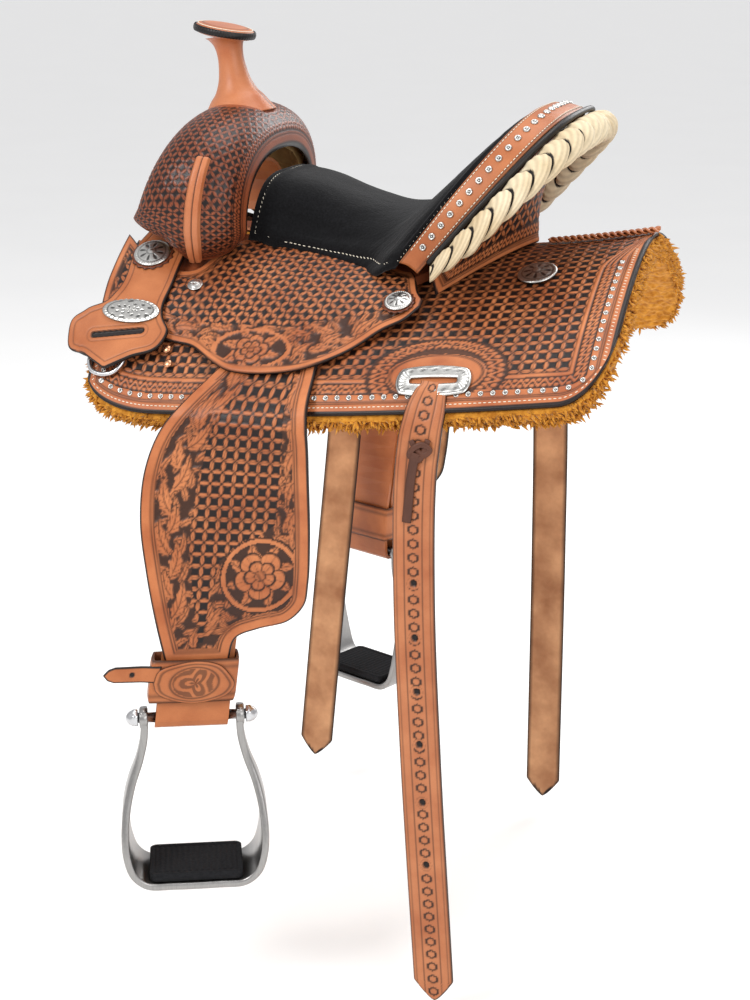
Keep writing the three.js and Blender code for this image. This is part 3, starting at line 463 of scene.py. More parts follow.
class Sheet:
    """A sheet of leather: its outer face's grid of points, outward normals, and flat coordinates in millimetres."""

    def __init__(self, points, hint):
        self.p = points
        du, dv = np.gradient(points, axis=1), np.gradient(points, axis=0)
        n = unit(np.cross(du, dv))
        sign = 1 if (n * np.asarray(hint)).sum() > 0 else -1
        self.n, self.flip = n * sign, sign < 0
        self.du, self.dv = du, dv
        lu, lv = np.linalg.norm(du, axis=-1), np.linalg.norm(dv, axis=-1)
        a = np.cumsum(lu, axis=1)
        a -= a[:, a.shape[1] // 2][:, None]
        b = np.cumsum(lv, axis=0)
        b = b[-1] - b
        self.set_flat(a, b)

    def set_flat(self, a, b):
        self.a, self.b = a, b
        ring = ring_of(*a.shape)
        self.border = np.stack([a[ring[:, 0], ring[:, 1]], b[ring[:, 0], ring[:, 1]]], -1)
        step = np.linalg.norm(np.roll(self.border, -1, 0) - self.border, axis=1)
        self.arc = np.concatenate([[0], np.cumsum(step)[:-1]])
        self.length = step.sum()
        tangent = unit(np.roll(self.border, -1, 0) - np.roll(self.border, 1, 0))
        area = np.sum(self.border[:, 0] * np.roll(self.border[:, 1],
                                                  -1) - np.roll(self.border[:, 0], -1) * self.border[:, 1])
        self.tangent = tangent
        self.inward = np.stack([-tangent[:, 1], tangent[:, 0]], -1) * (1 if area > 0 else -1)
        self.d, self.s = self.edge(np.stack([a.ravel(), b.ravel()], -1))
        self.d, self.s = self.d.reshape(a.shape), self.s.reshape(a.shape)

    def edge(self, q, only=None):
        border = self.border if only is None else self.border[only]
        arc = self.arc if only is None else self.arc[only]
        tan = self.tangent if only is None else self.tangent[only]
        d, s = np.zeros(len(q)), np.zeros(len(q))
        for k in range(0, len(q), 4000):
            part = q[k:k + 4000]
            gap = ((part[:, None] - border[None]) ** 2).sum(-1)
            i = gap.argmin(1)
            rel = part - border[i]
            shift = (rel * tan[i]).sum(-1)
            d[k:k + 4000] = np.sqrt(np.maximum(gap[np.arange(len(part)), i] - np.clip(shift, -2, 2) ** 2, 0))
            s[k:k + 4000] = arc[i] + np.clip(shift, -2, 2)
        return d, s

    def at(self, q, lift=0.0):
        """(points, normals, direction of the flat first axis) at flat coordinates."""
        flat = np.stack([self.a.ravel(), self.b.ravel()], -1)
        i = np.concatenate([((part[:,
                                   None] - flat[None]) ** 2).sum(-1).argmin(1) for part in np.array_split(q, len(q) // 24 + 1)])
        j, k = np.unravel_index(i, self.a.shape)
        ga = [np.gradient(self.a, axis=1)[j, k], np.gradient(self.a, axis=0)[j, k]]
        gb = [np.gradient(self.b, axis=1)[j, k], np.gradient(self.b, axis=0)[j, k]]
        rel = q - flat[i]
        det = ga[0] * gb[1] - ga[1] * gb[0]
        cu = np.clip((rel[:, 0] * gb[1] - rel[:, 1] * ga[1]) / det, -1, 1)[:, None]
        cv = np.clip((ga[0] * rel[:, 1] - gb[0] * rel[:, 0]) / det, -1, 1)[:, None]
        du, dv, n = self.du[j, k], self.dv[j, k], self.n[j, k]
        step_a = unit(du * gb[1][:, None] - dv * gb[0][:, None]) * np.sign(det)[:, None]
        step_b = unit(np.cross(n, step_a))
        down = unit(dv * ga[0][:, None] - du * ga[1][:, None]) * np.sign(det)[:, None]
        step_b *= np.sign((step_b * down).sum(-1, keepdims=True))
        return self.p[j, k] + du * cu + dv * cv + n * lift, n, step_a, step_b

    def line(self, inset, pitch, keep=None):
        """Points at a given distance inside the border: (flat points, flat tangents)."""
        arcs = np.arange(pitch / 2, self.length, pitch)
        q = np.stack([np.interp(arcs, self.arc, self.border[:, k]) for k in (0, 1)], -1)
        inward = unit(np.stack([np.interp(arcs, self.arc, self.inward[:, k]) for k in (0, 1)], -1))
        tangent = unit(np.stack([np.interp(arcs, self.arc, self.tangent[:, k]) for k in (0, 1)], -1))
        q = q + inward * inset
        d, _ = self.edge(q)
        ok = d > inset * 0.93
        if keep is not None:
            ok &= keep(q[:, 0], q[:, 1], arcs)
        return q[ok], tangent[ok]

    def build(self, name, height, dye_and_shade, thickness, material, body, replaces=(), round_edge=2.0):
        h = height - 1.3 * np.clip(1 - self.d / round_edge, 0, 1) ** 2
        top = self.p + self.n * h[..., None]
        bottom = self.p - self.n * thickness
        ring = ring_of(*self.a.shape)
        bottom[ring[:, 0], ring[:, 1]] += self.n[ring[:, 0], ring[:, 1]] * 0.6
        verts, faces, keep = slab_mesh(top, bottom)
        nv, nu = self.a.shape
        back = ((nv - 1) * (nu - 1), len(faces) - 2 * (nv + nu - 2))
        if self.flip:
            faces = [f[::-1] for f in faces]
        values = np.concatenate([dye_and_shade.ravel(), np.where(self.d[keep] < 3, 1.0, 0.0)])
        return piece(name, verts, faces, material, body, replaces, values, back=back)


def grid(nu, nv):
    u, v = np.meshgrid(np.linspace(0, 1, nu * 4 + 1), np.linspace(0, 1, nv * 4 + 1))
    return u, v


def scatter(name, template, places, material, body, replaces=(), scale=1.0):
    """Copies of a small template (points, faces, dye) at places: (origins, normals, directions)."""
    tv, tf, td = template
    o, n, x = places
    y = np.cross(n, x)
    verts = (o[:, None] + tv[None, :, :1] * scale * x[:, None] + tv[None, :, 1:2] * scale * y[:, None]
             + tv[None, :, 2:] * scale * n[:, None]).reshape(-1, 3)
    faces = [[i + k * len(tv) for i in f] for k in range(len(o)) for f in tf]
    return piece(name, verts, faces, material, body, replaces, np.tile(td, len(o)))


def disc(radius, height, rings=8, segments=24, base=0.0, sx=1.0, sy=1.0):
    """A closed disc whose top is height(r, angle) -> (z, dye), with r from 0 to 1."""
    verts, dye_and_shade = [], []
    ang = np.linspace(0, 2 * np.pi, segments, endpoint=False)
    z, dk = height(np.array([0.0]), np.array([0.0]))
    verts.append((0, 0, float(z[0])))
    dye_and_shade.append(float(dk[0]))
    for k in range(1, rings + 1):
        r = k / rings
        z, dk = height(np.full(segments, r), ang)
        verts += list(zip(radius * r * np.cos(ang) * sx, radius * r * np.sin(ang) * sy, z))
        dye_and_shade += list(dk)
    n = len(verts)
    verts += list(zip(radius * np.cos(ang) * sx, radius * np.sin(ang) * sy, np.full(segments, base)))
    dye_and_shade += [1.0] * segments
    faces = [[0, 1 + k, 1 + (k + 1) % segments] for k in range(segments)]
    for r in range(rings - 1):
        a = 1 + r * segments
        faces += [[a + k, a + segments + k, a + segments + (k + 1) % segments,
                   a + (k + 1) % segments] for k in range(segments)]
    a = 1 + (rings - 1) * segments
    faces += [[a + k, n + k, n + (k + 1) % segments, a + (k + 1) % segments] for k in range(segments)]
    faces.append([n + k for k in range(segments)][::-1])
    return np.array(verts, float), faces, np.array(dye_and_shade)


def capsule(length, width, tall, segments=8, rings=5):
    verts = [(-length / 2, 0, 0)]
    for k in range(1, rings):
        c, s = math.cos(math.pi * k / rings), math.sin(math.pi * k / rings) ** 0.6
        for j in range(segments):
            a = 2 * math.pi * j / segments
            verts.append((-length / 2 * c, width / 2 * s * math.cos(a), tall / 2 * s * math.sin(a)))
    verts.append((length / 2, 0, 0))
    faces = [[0, 1 + (j + 1) % segments, 1 + j] for j in range(segments)]
    for k in range(rings - 2):
        a = 1 + k * segments
        faces += [[a + j, a + (j + 1) % segments, a + segments + (j + 1) % segments,
                   a + segments + j] for j in range(segments)]
    a = 1 + (rings - 2) * segments
    faces += [[a + j, a + (j + 1) % segments, len(verts) - 1] for j in range(segments)]
    return np.array(verts, float), faces, np.zeros(len(verts))


STITCH = capsule(3.6, 1.15, 1.0, 6, 4)


def spot_top(r, a):
    z = np.interp(r, [0, 0.2, 0.34, 0.42, 0.7, 0.92, 1], [1.5, 1.3, 0.5, 1.0, 2.1, 1.1, 0.1])
    return z, np.clip((0.44 - r) / 0.08, 0, 1) * (r > 0.16)


SPOT = disc(4.0, spot_top, 8, 14)


def spaced(points, pitch):
    """The points of a row that lie a pitch apart, in order."""
    chosen = [0]
    for i in range(1, len(points)):
        if np.linalg.norm(points[i] - points[chosen[-1]]) >= pitch:
            chosen.append(i)
    return chosen


def stitch_row(sheet, name, body, inset, pitch=4.6, keep=None, lift=0.2):
    q, tan = sheet.line(inset, pitch / 3, keep)
    if not len(q):
        return
    p, n, ua, ub = sheet.at(q, lift)
    x = unit(ua * tan[:, :1] + ub * tan[:, 1:])
    keep = spaced(p, pitch)
    scatter(name, STITCH, (p[keep], n[keep], x[keep]), THREAD, body)


def spot_row(sheet, name, body, inset, pitch=12.5, keep=None, lift=0.2, scale=1.0):
    q, tan = sheet.line(inset, pitch, keep)
    p, n, ua, ub = sheet.at(q, lift)
    scatter(name, SPOT, (p, n, unit(ua * tan[:, :1] + ub * tan[:, 1:])), SILVER, body,
            scale=scale)


def sweep(path, section, up):
    """Rings of a section (w, h) along a path: w across, h along the up direction."""
    p = np.asarray(path, float)
    tan = unit(np.gradient(p, axis=0))
    up = np.broadcast_to(np.asarray(up, float), p.shape)
    across = unit(np.cross(tan, up))
    up = unit(np.cross(across, tan))
    sec = np.asarray(section, float)
    if sec.ndim == 2:
        sec = np.broadcast_to(sec, (len(p), *sec.shape))
    return p[:, None] + across[:, None] * sec[..., :1] + up[:, None] * sec[..., 1:2]


def tube_mesh(rings):
    n, m = rings.shape[:2]
    idx = np.arange(n * m).reshape(n, m)
    nxt = np.roll(idx, -1, 1)
    faces = np.stack([idx[:-1], nxt[:-1], nxt[1:], idx[1:]], -1).reshape(-1, 4).tolist()
    faces.append(idx[0][::-1].tolist())
    faces.append(idx[-1].tolist())
    return rings.reshape(-1, 3), faces


def circle(r, count, ratio=1.0):
    a = np.linspace(0, 2 * np.pi, count, endpoint=False)
    return np.stack([r * np.cos(a), r * ratio * np.sin(a)], -1)


def tube(name, path, radius, material, body, up=(0, 0, 1), ratio=1.0, count=10, replaces=()):
    v, f = tube_mesh(sweep(path, circle(radius, count, ratio), up))
    return piece(name, v, f, material, body, replaces)


# ------------------------------------------------------------------ carving


def basket(a, b, pitch=12.5, angle=0.0):
    """Overlapping circles: raised petals between dark concave diamonds."""
    c, s = math.cos(angle), math.sin(angle)
    x, y = (a * c - b * s) / pitch, (a * s + b * c) / pitch
    x, y = np.abs(x - np.round(x)), np.abs(y - np.round(y))
    near = np.minimum(np.hypot(1 - x, y), np.hypot(x, 1 - y))
    petal = smooth((math.sqrt(0.5) + 0.01 - near) / 0.1)
    vein = np.exp(-(np.minimum(0.5 - x, 0.5 - y) / 0.035) ** 2) * petal
    return 0.75 * petal - 0.2 * vein - 0.45, np.clip(1 - petal + 0.45 * vein, 0, 1)


def serpentine(w, s, pitch=12.0):
    """A wavy ribbon between w = -1 and 1, with a bead in each of its bends."""
    wave = 0.5 * np.sin(2 * np.pi * s / pitch)
    ribbon = smooth((0.34 - np.abs(w - wave)) / 0.16)
    k = s / pitch
    bead = 0 * w
    for phase, place in ((0.25, -0.5), (0.75, 0.5)):
        along_ = (k - phase - np.round(k - phase)) * pitch / 4.2
        bead = np.maximum(bead, smooth((0.36 - np.hypot(along_ * 0.5, w - place)) / 0.16))
    up = np.maximum(ribbon, bead)
    return 0.7 * up - 0.5, (1 - up) * 0.92


def lines(d, places, width=0.9):
    """Cut lines at distances from the edge."""
    cut = 0 * d
    for place in places:
        cut = np.maximum(cut, np.exp(-((d - place) / width) ** 2))
    return cut


class Carving:
    """A field of raised motifs over a dark matted ground."""

    def __init__(self, a, b):
        self.a, self.b = a, b
        self.h, self.cut = np.full(a.shape, -0.75), np.full(a.shape, 0.88)
        self.h += 0.12 * np.sin(a * 2.6) * np.sin(b * 2.6)
        self.cut = np.full(a.shape, 0.93)

    def fill(self, spacing, size, flow, seed):
        """Small leaves all over the ground, along a flow direction in radians."""
        r = np.random.default_rng(seed)
        low_a, low_b = self.a.min() - 10, self.b.min() - 10
        for j in range(int((self.b.max() + 10 - low_b) / spacing) + 1):
            for i in range(int((self.a.max() + 10 - low_a) / spacing) + 1):
                x = low_a + (i + 0.5 * (j % 2)) * spacing + r.normal(0, 1.2)
                y = low_b + j * spacing + r.normal(0, 1.2)
                turn = flow(x, y) + r.normal(0, 0.3)
                self.leaf(x, y, turn, size * r.uniform(0.9, 1.2), size * 0.44,
                          0.5 * np.sign(math.sin(x * 0.21 + y * 0.13)))

    def put(self, mask, raised, cut):
        edge = smooth(mask)
        over = mask > 0
        self.h = np.where(over, mix(self.h, raised, edge), self.h)
        self.cut = np.where(over, mix(self.cut, cut, edge), self.cut)

    def leaf(self, x, y, angle, length, width, curl=0.5):
        c, s = math.cos(angle), math.sin(angle)
        u, w = (self.a - x) * c + (self.b - y) * s, -(self.a - x) * s + (self.b - y) * c
        box = (np.abs(u - length / 2) < length) & (np.abs(w) < length)
        if not box.any():
            return
        near = box
        w = w - curl * u * u / length
        k = np.clip(u / length, 0, 1)
        lobes = 1 - 0.22 * np.abs(np.sin(k * np.pi * 3.5))
        half = width / 2 * np.sin(np.pi * k ** 0.75) ** 0.7 * lobes
        inside = np.where(near & (u > 0) & (u < length), (half - np.abs(w)) / 1.4, -1)
        vein = np.maximum(np.exp(-(w / 0.8) ** 2),
                          0.7 * np.exp(-(np.abs((u - np.abs(w) * 1.2) % 6.5 - 3.2) / 0.7) ** 2))
        rim = np.exp(-((half - np.abs(w)) / 0.9) ** 2)
        self.put(inside + 0.7, 0.9 * np.clip(1 - np.abs(w) / (half + 0.1), 0, 1) ** 0.5 - 0.45 * vein + 0.1,
                 np.clip(0.8 * vein + 0.85 * rim, 0, 0.95))

    def flower(self, x, y, radius, petals=5, ring=0.0):
        r, th = np.hypot(self.a - x, self.b - y), np.arctan2(self.b - y, self.a - x)
        if ring:
            band = 1 - np.abs(r - ring) / 2.6
            self.put(np.clip(band * 2, -1, 1), 0.9 + 0 * r, 0.05 + 0 * r)
            self.put(np.where(r < ring - 2.6, 1.0, -1),
                     -0.6 + 0.1 * np.sin(self.a * 3) * np.sin(self.b * 3), 0.8 + 0 * r)
        th = th + radius * 0.13
        lobe = radius * (0.62 + 0.38 * np.abs(np.cos(th * petals / 2)) ** 0.45)
        self.put((lobe + 2.2 - r) / 0.8, -0.7 + 0 * r, 0.95 + 0 * r)
        fold = np.maximum(np.exp(-(np.abs(np.cos(th * petals / 2)) * r / 2.0) ** 2),
                          0.7 * np.exp(-(np.abs(np.sin(th * petals / 2)) * r / 1.2) ** 2))
        ripple = np.exp(-((np.abs((th * petals * 1.6) % np.pi - np.pi / 2) * r) / 6) ** 2)
        self.put((lobe - r) / 1.4, 1.0 - 0.8 * (r / radius) ** 2 * 0.5 - 0.5 * fold,
                 0.75 * fold + 0.18 * ripple)
        self.put((radius * 0.34 - r) / 1.0, 1.0 + 0 * r, 0.35 + 0.3 * np.sin(self.a * 4) * np.sin(self.b * 4))
        self.put(1 - np.abs(r - radius * 0.36) / 0.9, -0.2 + 0 * r, 0.9 + 0 * r)

    def scroll(self, pts, size=24.0, start=0, side=1):
        """Leaves that spring from both sides of a stem."""
        stem = spline(pts, 8)
        seg = np.linalg.norm(np.diff(stem, axis=0), axis=1)
        run = np.concatenate([[0], np.cumsum(seg)])
        count = max(2, int(run[-1] / (size * 0.62)))
        for k in range(count):
            s = run[-1] * (k + 0.35) / count
            p = [np.interp(s, run, stem[:, 0]), np.interp(s, run, stem[:, 1])]
            q = [np.interp(s + 2, run, stem[:, 0]), np.interp(s + 2, run, stem[:, 1])]
            ang = math.atan2(q[1] - p[1], q[0] - p[0])
            turn = side if k % 2 else -side
            self.leaf(p[0], p[1], ang + 0.75 * turn, size * (0.95 + 0.15 * math.sin(k * 2.1)), size * 0.52,
                      -0.55 * turn)
        gap = np.full(self.a.shape, 1e9)
        for p in stem[::2]:
            gap = np.minimum(gap, (self.a - p[0]) ** 2 + (self.b - p[1]) ** 2)
        self.put(np.clip((2.4 - np.sqrt(gap)) / 1.2, -1, 1), 0.7 + 0 * self.a, 0.1 + 0 * self.a)


def choose(pairs):
    """The relief and dye of the first field whose mask holds."""
    h, dye_and_shade = pairs[-1][1], pairs[-1][2]
    for mask, hh, dd in reversed(pairs[:-1]):
        h, dye_and_shade = np.where(mask, hh, h), np.where(mask, dd, dye_and_shade)
    return h, dye_and_shade


# ------------------------------------------------------------------ camera, light and floor


def stage_scene():
    scene = bpy.context.scene
    low, _ = CAD_BOX
    target = Vector((-0.030, 0.0, -0.270))
    yaw, pitch, reach = math.radians(18.06), math.radians(17), 2.234
    back = Vector((math.sin(yaw) * math.cos(pitch), -math.cos(yaw) * math.cos(pitch), math.sin(pitch)))
    cam = bpy.data.objects.new("camera", bpy.data.cameras.new("camera"))
    cam.data.lens, cam.data.sensor_width = 69.0, 36.0
    cam.location = target + back * reach
    cam.rotation_euler = (-back).to_track_quat("-Z", "Y").to_euler()
    scene.collection.objects.link(cam)
    scene.camera = cam
    size, floor_z = 60.0, low[2] - 0.02
    corners = [(-size, -size, floor_z), (size, -size, floor_z), (size, size, floor_z), (-size, size, floor_z)]
    mesh = bpy.data.meshes.new("floor")
    mesh.from_pydata(corners, [], [(0, 1, 2, 3)])
    floor = bpy.data.objects.new("floor", mesh)
    m, t, b = nodes_of("floor", 0.9)
    n = add_noise(t, 3.0)
    t.links.new(ramp(t, n.outputs["Fac"], [(0.2, (0.80, 0.80, 0.79)), (0.8, (0.83, 0.83, 0.82))]),
                b.inputs["Base Color"])
    b.inputs["Emission Color"].default_value = (1, 1, 1, 1)
    b.inputs["Emission Strength"].default_value = 0.22
    mesh.materials.append(m)
    scene.collection.objects.link(floor)
    for name, place, size, power in (("key", (-1.5, -2.5, 1.9), 1.2, 62), ("fill", (1.9, -1.8, 0.8), 1.6, 26),
                                     ("top", (0.2, 0.3, 2.4), 1.8, 38), ("rim", (0.8, 2.4, 1.2), 1.5, 30)):
        light = bpy.data.lights.new(name, "AREA")
        light.energy, light.size = power, size
        obj = bpy.data.objects.new(name, light)
        obj.location = place
        obj.rotation_euler = (Vector(place) - Vector((0, 0, -0.2))).to_track_quat("Z", "Y").to_euler()
        scene.collection.objects.link(obj)
    world = bpy.data.worlds.new("studio")
    world.use_nodes = True
    world.node_tree.nodes["Background"].inputs["Color"].default_value = (0.95, 0.95, 0.97, 1)
    world.node_tree.nodes["Background"].inputs["Strength"].default_value = 0.70
    scene.world = world
    scene.view_settings.view_transform = "Standard"


# ------------------------------------------------------------------ skirts and fleece


def border_relief(sheet, d, s, field, serp=(22, 36)):
    """Edge strip, grooves, serpentine band and raised line around a tooled panel."""
    low, high = serp
    cut = lines(d, (12.0, 14.2))
    plain = (0.3 - 0.8 * cut, 0.75 * cut)
    w = (d - (low + high) / 2) / ((high - low) / 2)
    sh, sd = serpentine(w, s * (sheet.length // 12 * 12) / sheet.length)
    rail = lines(d, (low - 0.5, high + 0.5))
    line_h = (0.5 - 0.9 * lines(d, (high + 4.6,)), 0.7 * lines(d, (high + 4.6,)))
    return [(d < low, plain[0], plain[1]), (d < high, sh - 0.5 * rail, np.maximum(sd, rail)),
            (d < high + 5, *line_h), (d >= 0, *field)]


def build_skirts():
    for name, side in SIDES.items():
        u, v = grid(84, 50)
        x, t = skirt_patch(u, v)
        sheet = Sheet(saddle_point(side, x, t), (0, side, 0.6))
        ring = ring_of(*sheet.a.shape)
        inner = ring[:, 0] == 0
        sheet.set_flat(x, sheet.b)
        outline = np.where(~inner)[0]
        flat = np.stack([sheet.a.ravel(), sheet.b.ravel()], -1)
        d, s = sheet.edge(flat, outline)
        d, s = d.reshape(x.shape), s.reshape(x.shape)
        field = basket(sheet.a, sheet.b, 12.5)
        h, dye_and_shade = choose(border_relief(sheet, d, s, field))
        rest = np.hypot((x - 108) / 52, (sheet.b - 44) / 27)
        arch = np.hypot((x - 108) / 74, (sheet.b - 44) / 49)
        over = (d > 20) & (arch < 1)
        ah, ad = serpentine((arch - 0.83) / 0.15, np.arctan2(sheet.b - 44, x - 108) * 62)
        h, dye_and_shade = np.where(over, ah, h), np.where(over, ad, dye_and_shade)
        h = np.where(over & (arch < 0.68), -0.2, h)
        dye_and_shade = np.where(over & (arch < 0.68), 0.85, dye_and_shade)
        smooth_pad = (rest < 1) & (d > 9)
        h, dye_and_shade = np.where(smooth_pad, 0.25, h), np.where(smooth_pad, 0.9 * lines(rest, (0.93,), 0.03), dye_and_shade)
        dye_and_shade = np.maximum(dye_and_shade, smooth((4.6 - d) / 0.8))
        sheet.d = d
        sheet.build(f"{name}_skirt_tooled", h * 0.9, dye_and_shade, 4.4, TOOLED, "saddle",
                    (f"{name}_skirt",))
        edge_only = lambda a, b, arcs, s_=sheet, o=set(outline.tolist()): np.array(
            [int(np.searchsorted(s_.arc, q) - 1) in o for q in arcs])
        stitch_row(sheet, f"{name}_skirt_stitches", "saddle", 8, 5.0, edge_only)
        spot_row(sheet, f"{name}_skirt_spots", "saddle", 18.5, 12.5, edge_only, scale=0.8)
        build_fleece(name, side)


def build_fleece(name, side):
    u, v = grid(66, 34)
    x, t = skirt_patch(u, v, 0.02)
    outer = saddle_point(side, x, t, -6.2)
    inner = saddle_point(side, x, t, -29.0)
    n = unit(outer - inner)
    shag = 1.6 * noise2(x, t * 330, 9, 3) + 1.3 * noise2(x, t * 330, 4.5, 4)
    top, bottom = outer, inner + n * (1.5 + shag)[..., None]
    sheet = Sheet(bottom, (0, -side, -0.6))
    verts, faces, _ = slab_mesh(bottom, top)
    if sheet.flip:
        faces = [f[::-1] for f in faces]
    piece(f"{name}_fleece_wool", verts, faces, WOOL, "saddle", (f"{name}_fleece",))
    ring = ring_of(*x.shape)
    ring = ring[ring[:, 0] != 0]
    mid = (outer + inner) / 2
    centre = saddle_point(side, np.array(0.0), np.array(0.5), -15)
    verts, faces = [], []
    for j, i in ring:
        for _ in range(5):
            f = rng.uniform(0.02, 0.98)
            root = mix(outer[j, i], bottom[j, i], f) + rng.normal(0, 1.2, 3)
            out = unit(np.cross(n[j, i], np.cross(mid[j, i] - centre, n[j, i])))
            lean = unit(out + rng.normal(0, 0.45, 3) + np.array([0, 0, -0.35]))
            span, wide = rng.uniform(4, 8.5), rng.uniform(1.2, 2.2)
            side_dir = unit(np.cross(lean, rng.normal(0, 1, 3)))
            other = np.cross(lean, side_dir)
            base = len(verts)
            bend = rng.normal(0, 1.6, 3)
            for a in range(4):
                c, s_ = math.cos(a * math.pi / 2), math.sin(a * math.pi / 2)
                verts.append(root - lean * 2 + (side_dir * c + other * s_) * wide)
            for a in range(4):
                c, s_ = math.cos(a * math.pi / 2 + 0.6), math.sin(a * math.pi / 2 + 0.6)
                verts.append(root + lean * span * 0.55 + bend * 0.5 + (side_dir * c + other * s_) * wide * 0.8)
            verts.append(root + lean * span + bend)
            faces += [[base + k, base + (k + 1) % 4, base + 4 + (k + 1) % 4, base + 4 + k] for k in range(4)]
            faces += [[base + 4 + k, base + 4 + (k + 1) % 4, base + 8] for k in range(4)]
            faces.append([base + 3, base + 2, base + 1, base])
    piece(f"{name}_fleece_tufts", np.array(verts), faces, WOOL, "saddle")


# ------------------------------------------------------------------ seat jockeys, plates and rigging


def build_jockeys():
    for name, side in SIDES.items():
        u, v = grid(60, 26)
        x = mix(-286, 74, u)
        under = 0.11 * smooth((x + 190) / 30) * (1 - smooth((x - 44) / 24))
        t = mix(UPPER(x) - under, LOWER(x), v)
        dip = 6.0 * smooth((UPPER(x) - 0.03 - t) / 0.05)
        sheet = Sheet(saddle_point(side, x, t, jockey_height(x, t) + 4.5 - dip), (0, side, 0.6))
        sheet.set_flat(x, (0.84 - t) * 318)
        a, b = sheet.a, sheet.b
        d = sheet.d
        carve = Carving(a, b)
        carve.fill(13, 19, lambda px, py: 2.6 - 0.012 * (px + 150) + 0.01 * py, 11)
        carve.scroll([(-250, 70), (-215, 62), (-180, 52), (-150, 36)], 27)
        carve.scroll([(-170, 60), (-140, 62), (-110, 66), (-60, 60), (-20, 62)], 24, side=-1)
        carve.scroll([(-52, 22), (-20, 40), (12, 56), (36, 72)], 24, side=-1)
        oval = np.hypot((a + 96) / 40, (b - 31) / 23)
        grain = basket(a, b, 11, math.pi / 4)
        inner = oval < 1.04
        petal = Carving(a, b)
        for k in range(8):
            petal.leaf(-96, 31, 0.3 + k * math.pi / 4, 25 + 11 * abs(math.cos(0.3 + k * math.pi / 4)), 17,
                       0.3)
        petal.flower(-96, 31, 19, 5)
        petal.flower(-96, 31, 11, 5)
        band = (np.abs(oval - 1.06) < 0.07)
        rail = lines(d, (7.5,))
        low_edge = np.interp(a, [-290, -240, -190, -150, -96, -50, -10, 30, 60],
                             [96, 84, 66, 62, 60, 62, 74, 84, 90])
        in_basket = (b > low_edge) & (d > 12)
        zones = [(d < 9, 0.2 - 0.8 * rail, 0.75 * rail), (band, 0.6 + 0 * a, 0.06 + 0 * a),
                 (inner, petal.h, petal.cut),
                 (in_basket, *grain), (d >= 0, carve.h, carve.cut)]
        h, dye_and_shade = choose(zones)
        dye_and_shade = np.maximum(dye_and_shade, smooth((2.2 - d) / 1.0))
        sheet.build(f"{name}_jockey_tooled", h * 0.8, dye_and_shade, 3.4, TOOLED, "saddle",
                    (f"{name}_seat_jockey",))


def build_plates():
    for name, side in SIDES.items():
        u, v = grid(26, 46)
        t = mix(0.24, 0.845, v)
        x = mix(PLATE_FRONT(t), PLATE_REAR(t), u)
        sheet = Sheet(saddle_point(side, x, t, plate_height(t) + 4.5), (0, side, 0.6))
        sheet.set_flat(x, (0.845 - t) * 318)
        q, _, _ = saddle_place(side, -254, 0.715, plate_height(0.715) + 4.5)
        i = np.unravel_index(((sheet.p - q) ** 2).sum(-1).argmin(), sheet.a.shape)
        ca, cb = sheet.a[i], sheet.b[i]
        tilt = math.radians(-9)
        la = (sheet.a - ca) * math.cos(tilt) - (sheet.b - cb) * math.sin(tilt)
        lb = (sheet.a - ca) * math.sin(tilt) + (sheet.b - cb) * math.cos(tilt)
        slot = np.hypot(np.maximum(np.abs(la) - 28, 0), lb)
        h = -2.6 * smooth((4.0 - slot) / 1.2) - 0.5 * lines(sheet.d, (7.0,)) - 0.35 * lines(slot, (8.0,))
        # Darkest in the dented slot, where the colour is painted shade standing in for the open slot; also darker
        # along the cut edge and the two creased lines.
        dye_and_shade = np.maximum.reduce([smooth((4.4 - slot) / 1.0), smooth((2.2 - sheet.d) / 1.0),
                                 0.55 * lines(sheet.d, (7.0,), 0.7),
                                 0.4 * lines(slot, (8.0,), 0.6)])
        sheet.build(f"{name}_latigo_plate_leather", h, dye_and_shade, 4.3, PLAIN, "saddle",
                    (f"{name}_latigo_plate",))
        o, n, x1 = saddle_place(side, -245, 0.633, plate_height(0.633) + 4.6)

        def engraved(r, a):
            rope = 0.5 * np.sin(a * 30 + r * 8) * np.exp(-((r - 0.9) / 0.05) ** 2)
            vine = np.sin(r * 14 + 2.0 * np.cos(a * 2)) * np.sin(a * 7 + r * 3)
            cut = smooth((vine - 0.35) / 0.25) * (r < 0.8)
            z = 2.6 - 1.6 * r ** 6 + rope - 0.35 * cut
            return z, 0.75 * cut + 0.8 * np.exp(-((r - 0.81) / 0.02) ** 2)

        scatter(f"{name}_oval_silver", disc(34, engraved, 26, 110, sy=15.5 / 34),
                (o[None], n[None], x1[None]), SILVER, "saddle",
                (f"{name}_oval_plate",))
        build_dee(name, side)
        for k, (px, pt) in enumerate(((-196, 0.742), (-190, 0.80))):
            o, n, x1 = saddle_place(side, px, pt, 4.5)
            scatter(f"{name}_rivet_{k}", disc(5, lambda r, a: (2.4 * np.sqrt(1.01 - r * r), 0 * r), 6, 16),
                    (o[None], n[None], x1[None]), BRASS, "saddle")


def build_dee(name, side):
    o, n, x = saddle_place(side, -264, 0.77, 4.6)
    across = np.cross(n, x)
    down = across * np.sign(-across[2])
    w, drop = 40, 27
    bow = spline([(-w / 2, 0), (-w / 2, drop * .45), (-w * .34, drop * .86), (0, drop),
                  (w * .34, drop * .86), (w / 2, drop * .45),
                  (w / 2, 0)], 8)
    path = [o + x * p[0] + down * p[1] for p in bow]
    tube(f"{name}_dee_bow", path, 2.6, STEEL, f"{name}_dee", up=n, count=14,
         replaces=(f"{name}_dee_ring",))
    tube(f"{name}_dee_bar", [o - x * (w / 2 + 2.4), o, o + x * (w / 2 + 2.4)], 2.6, STEEL, f"{name}_dee",
         up=n, count=14)


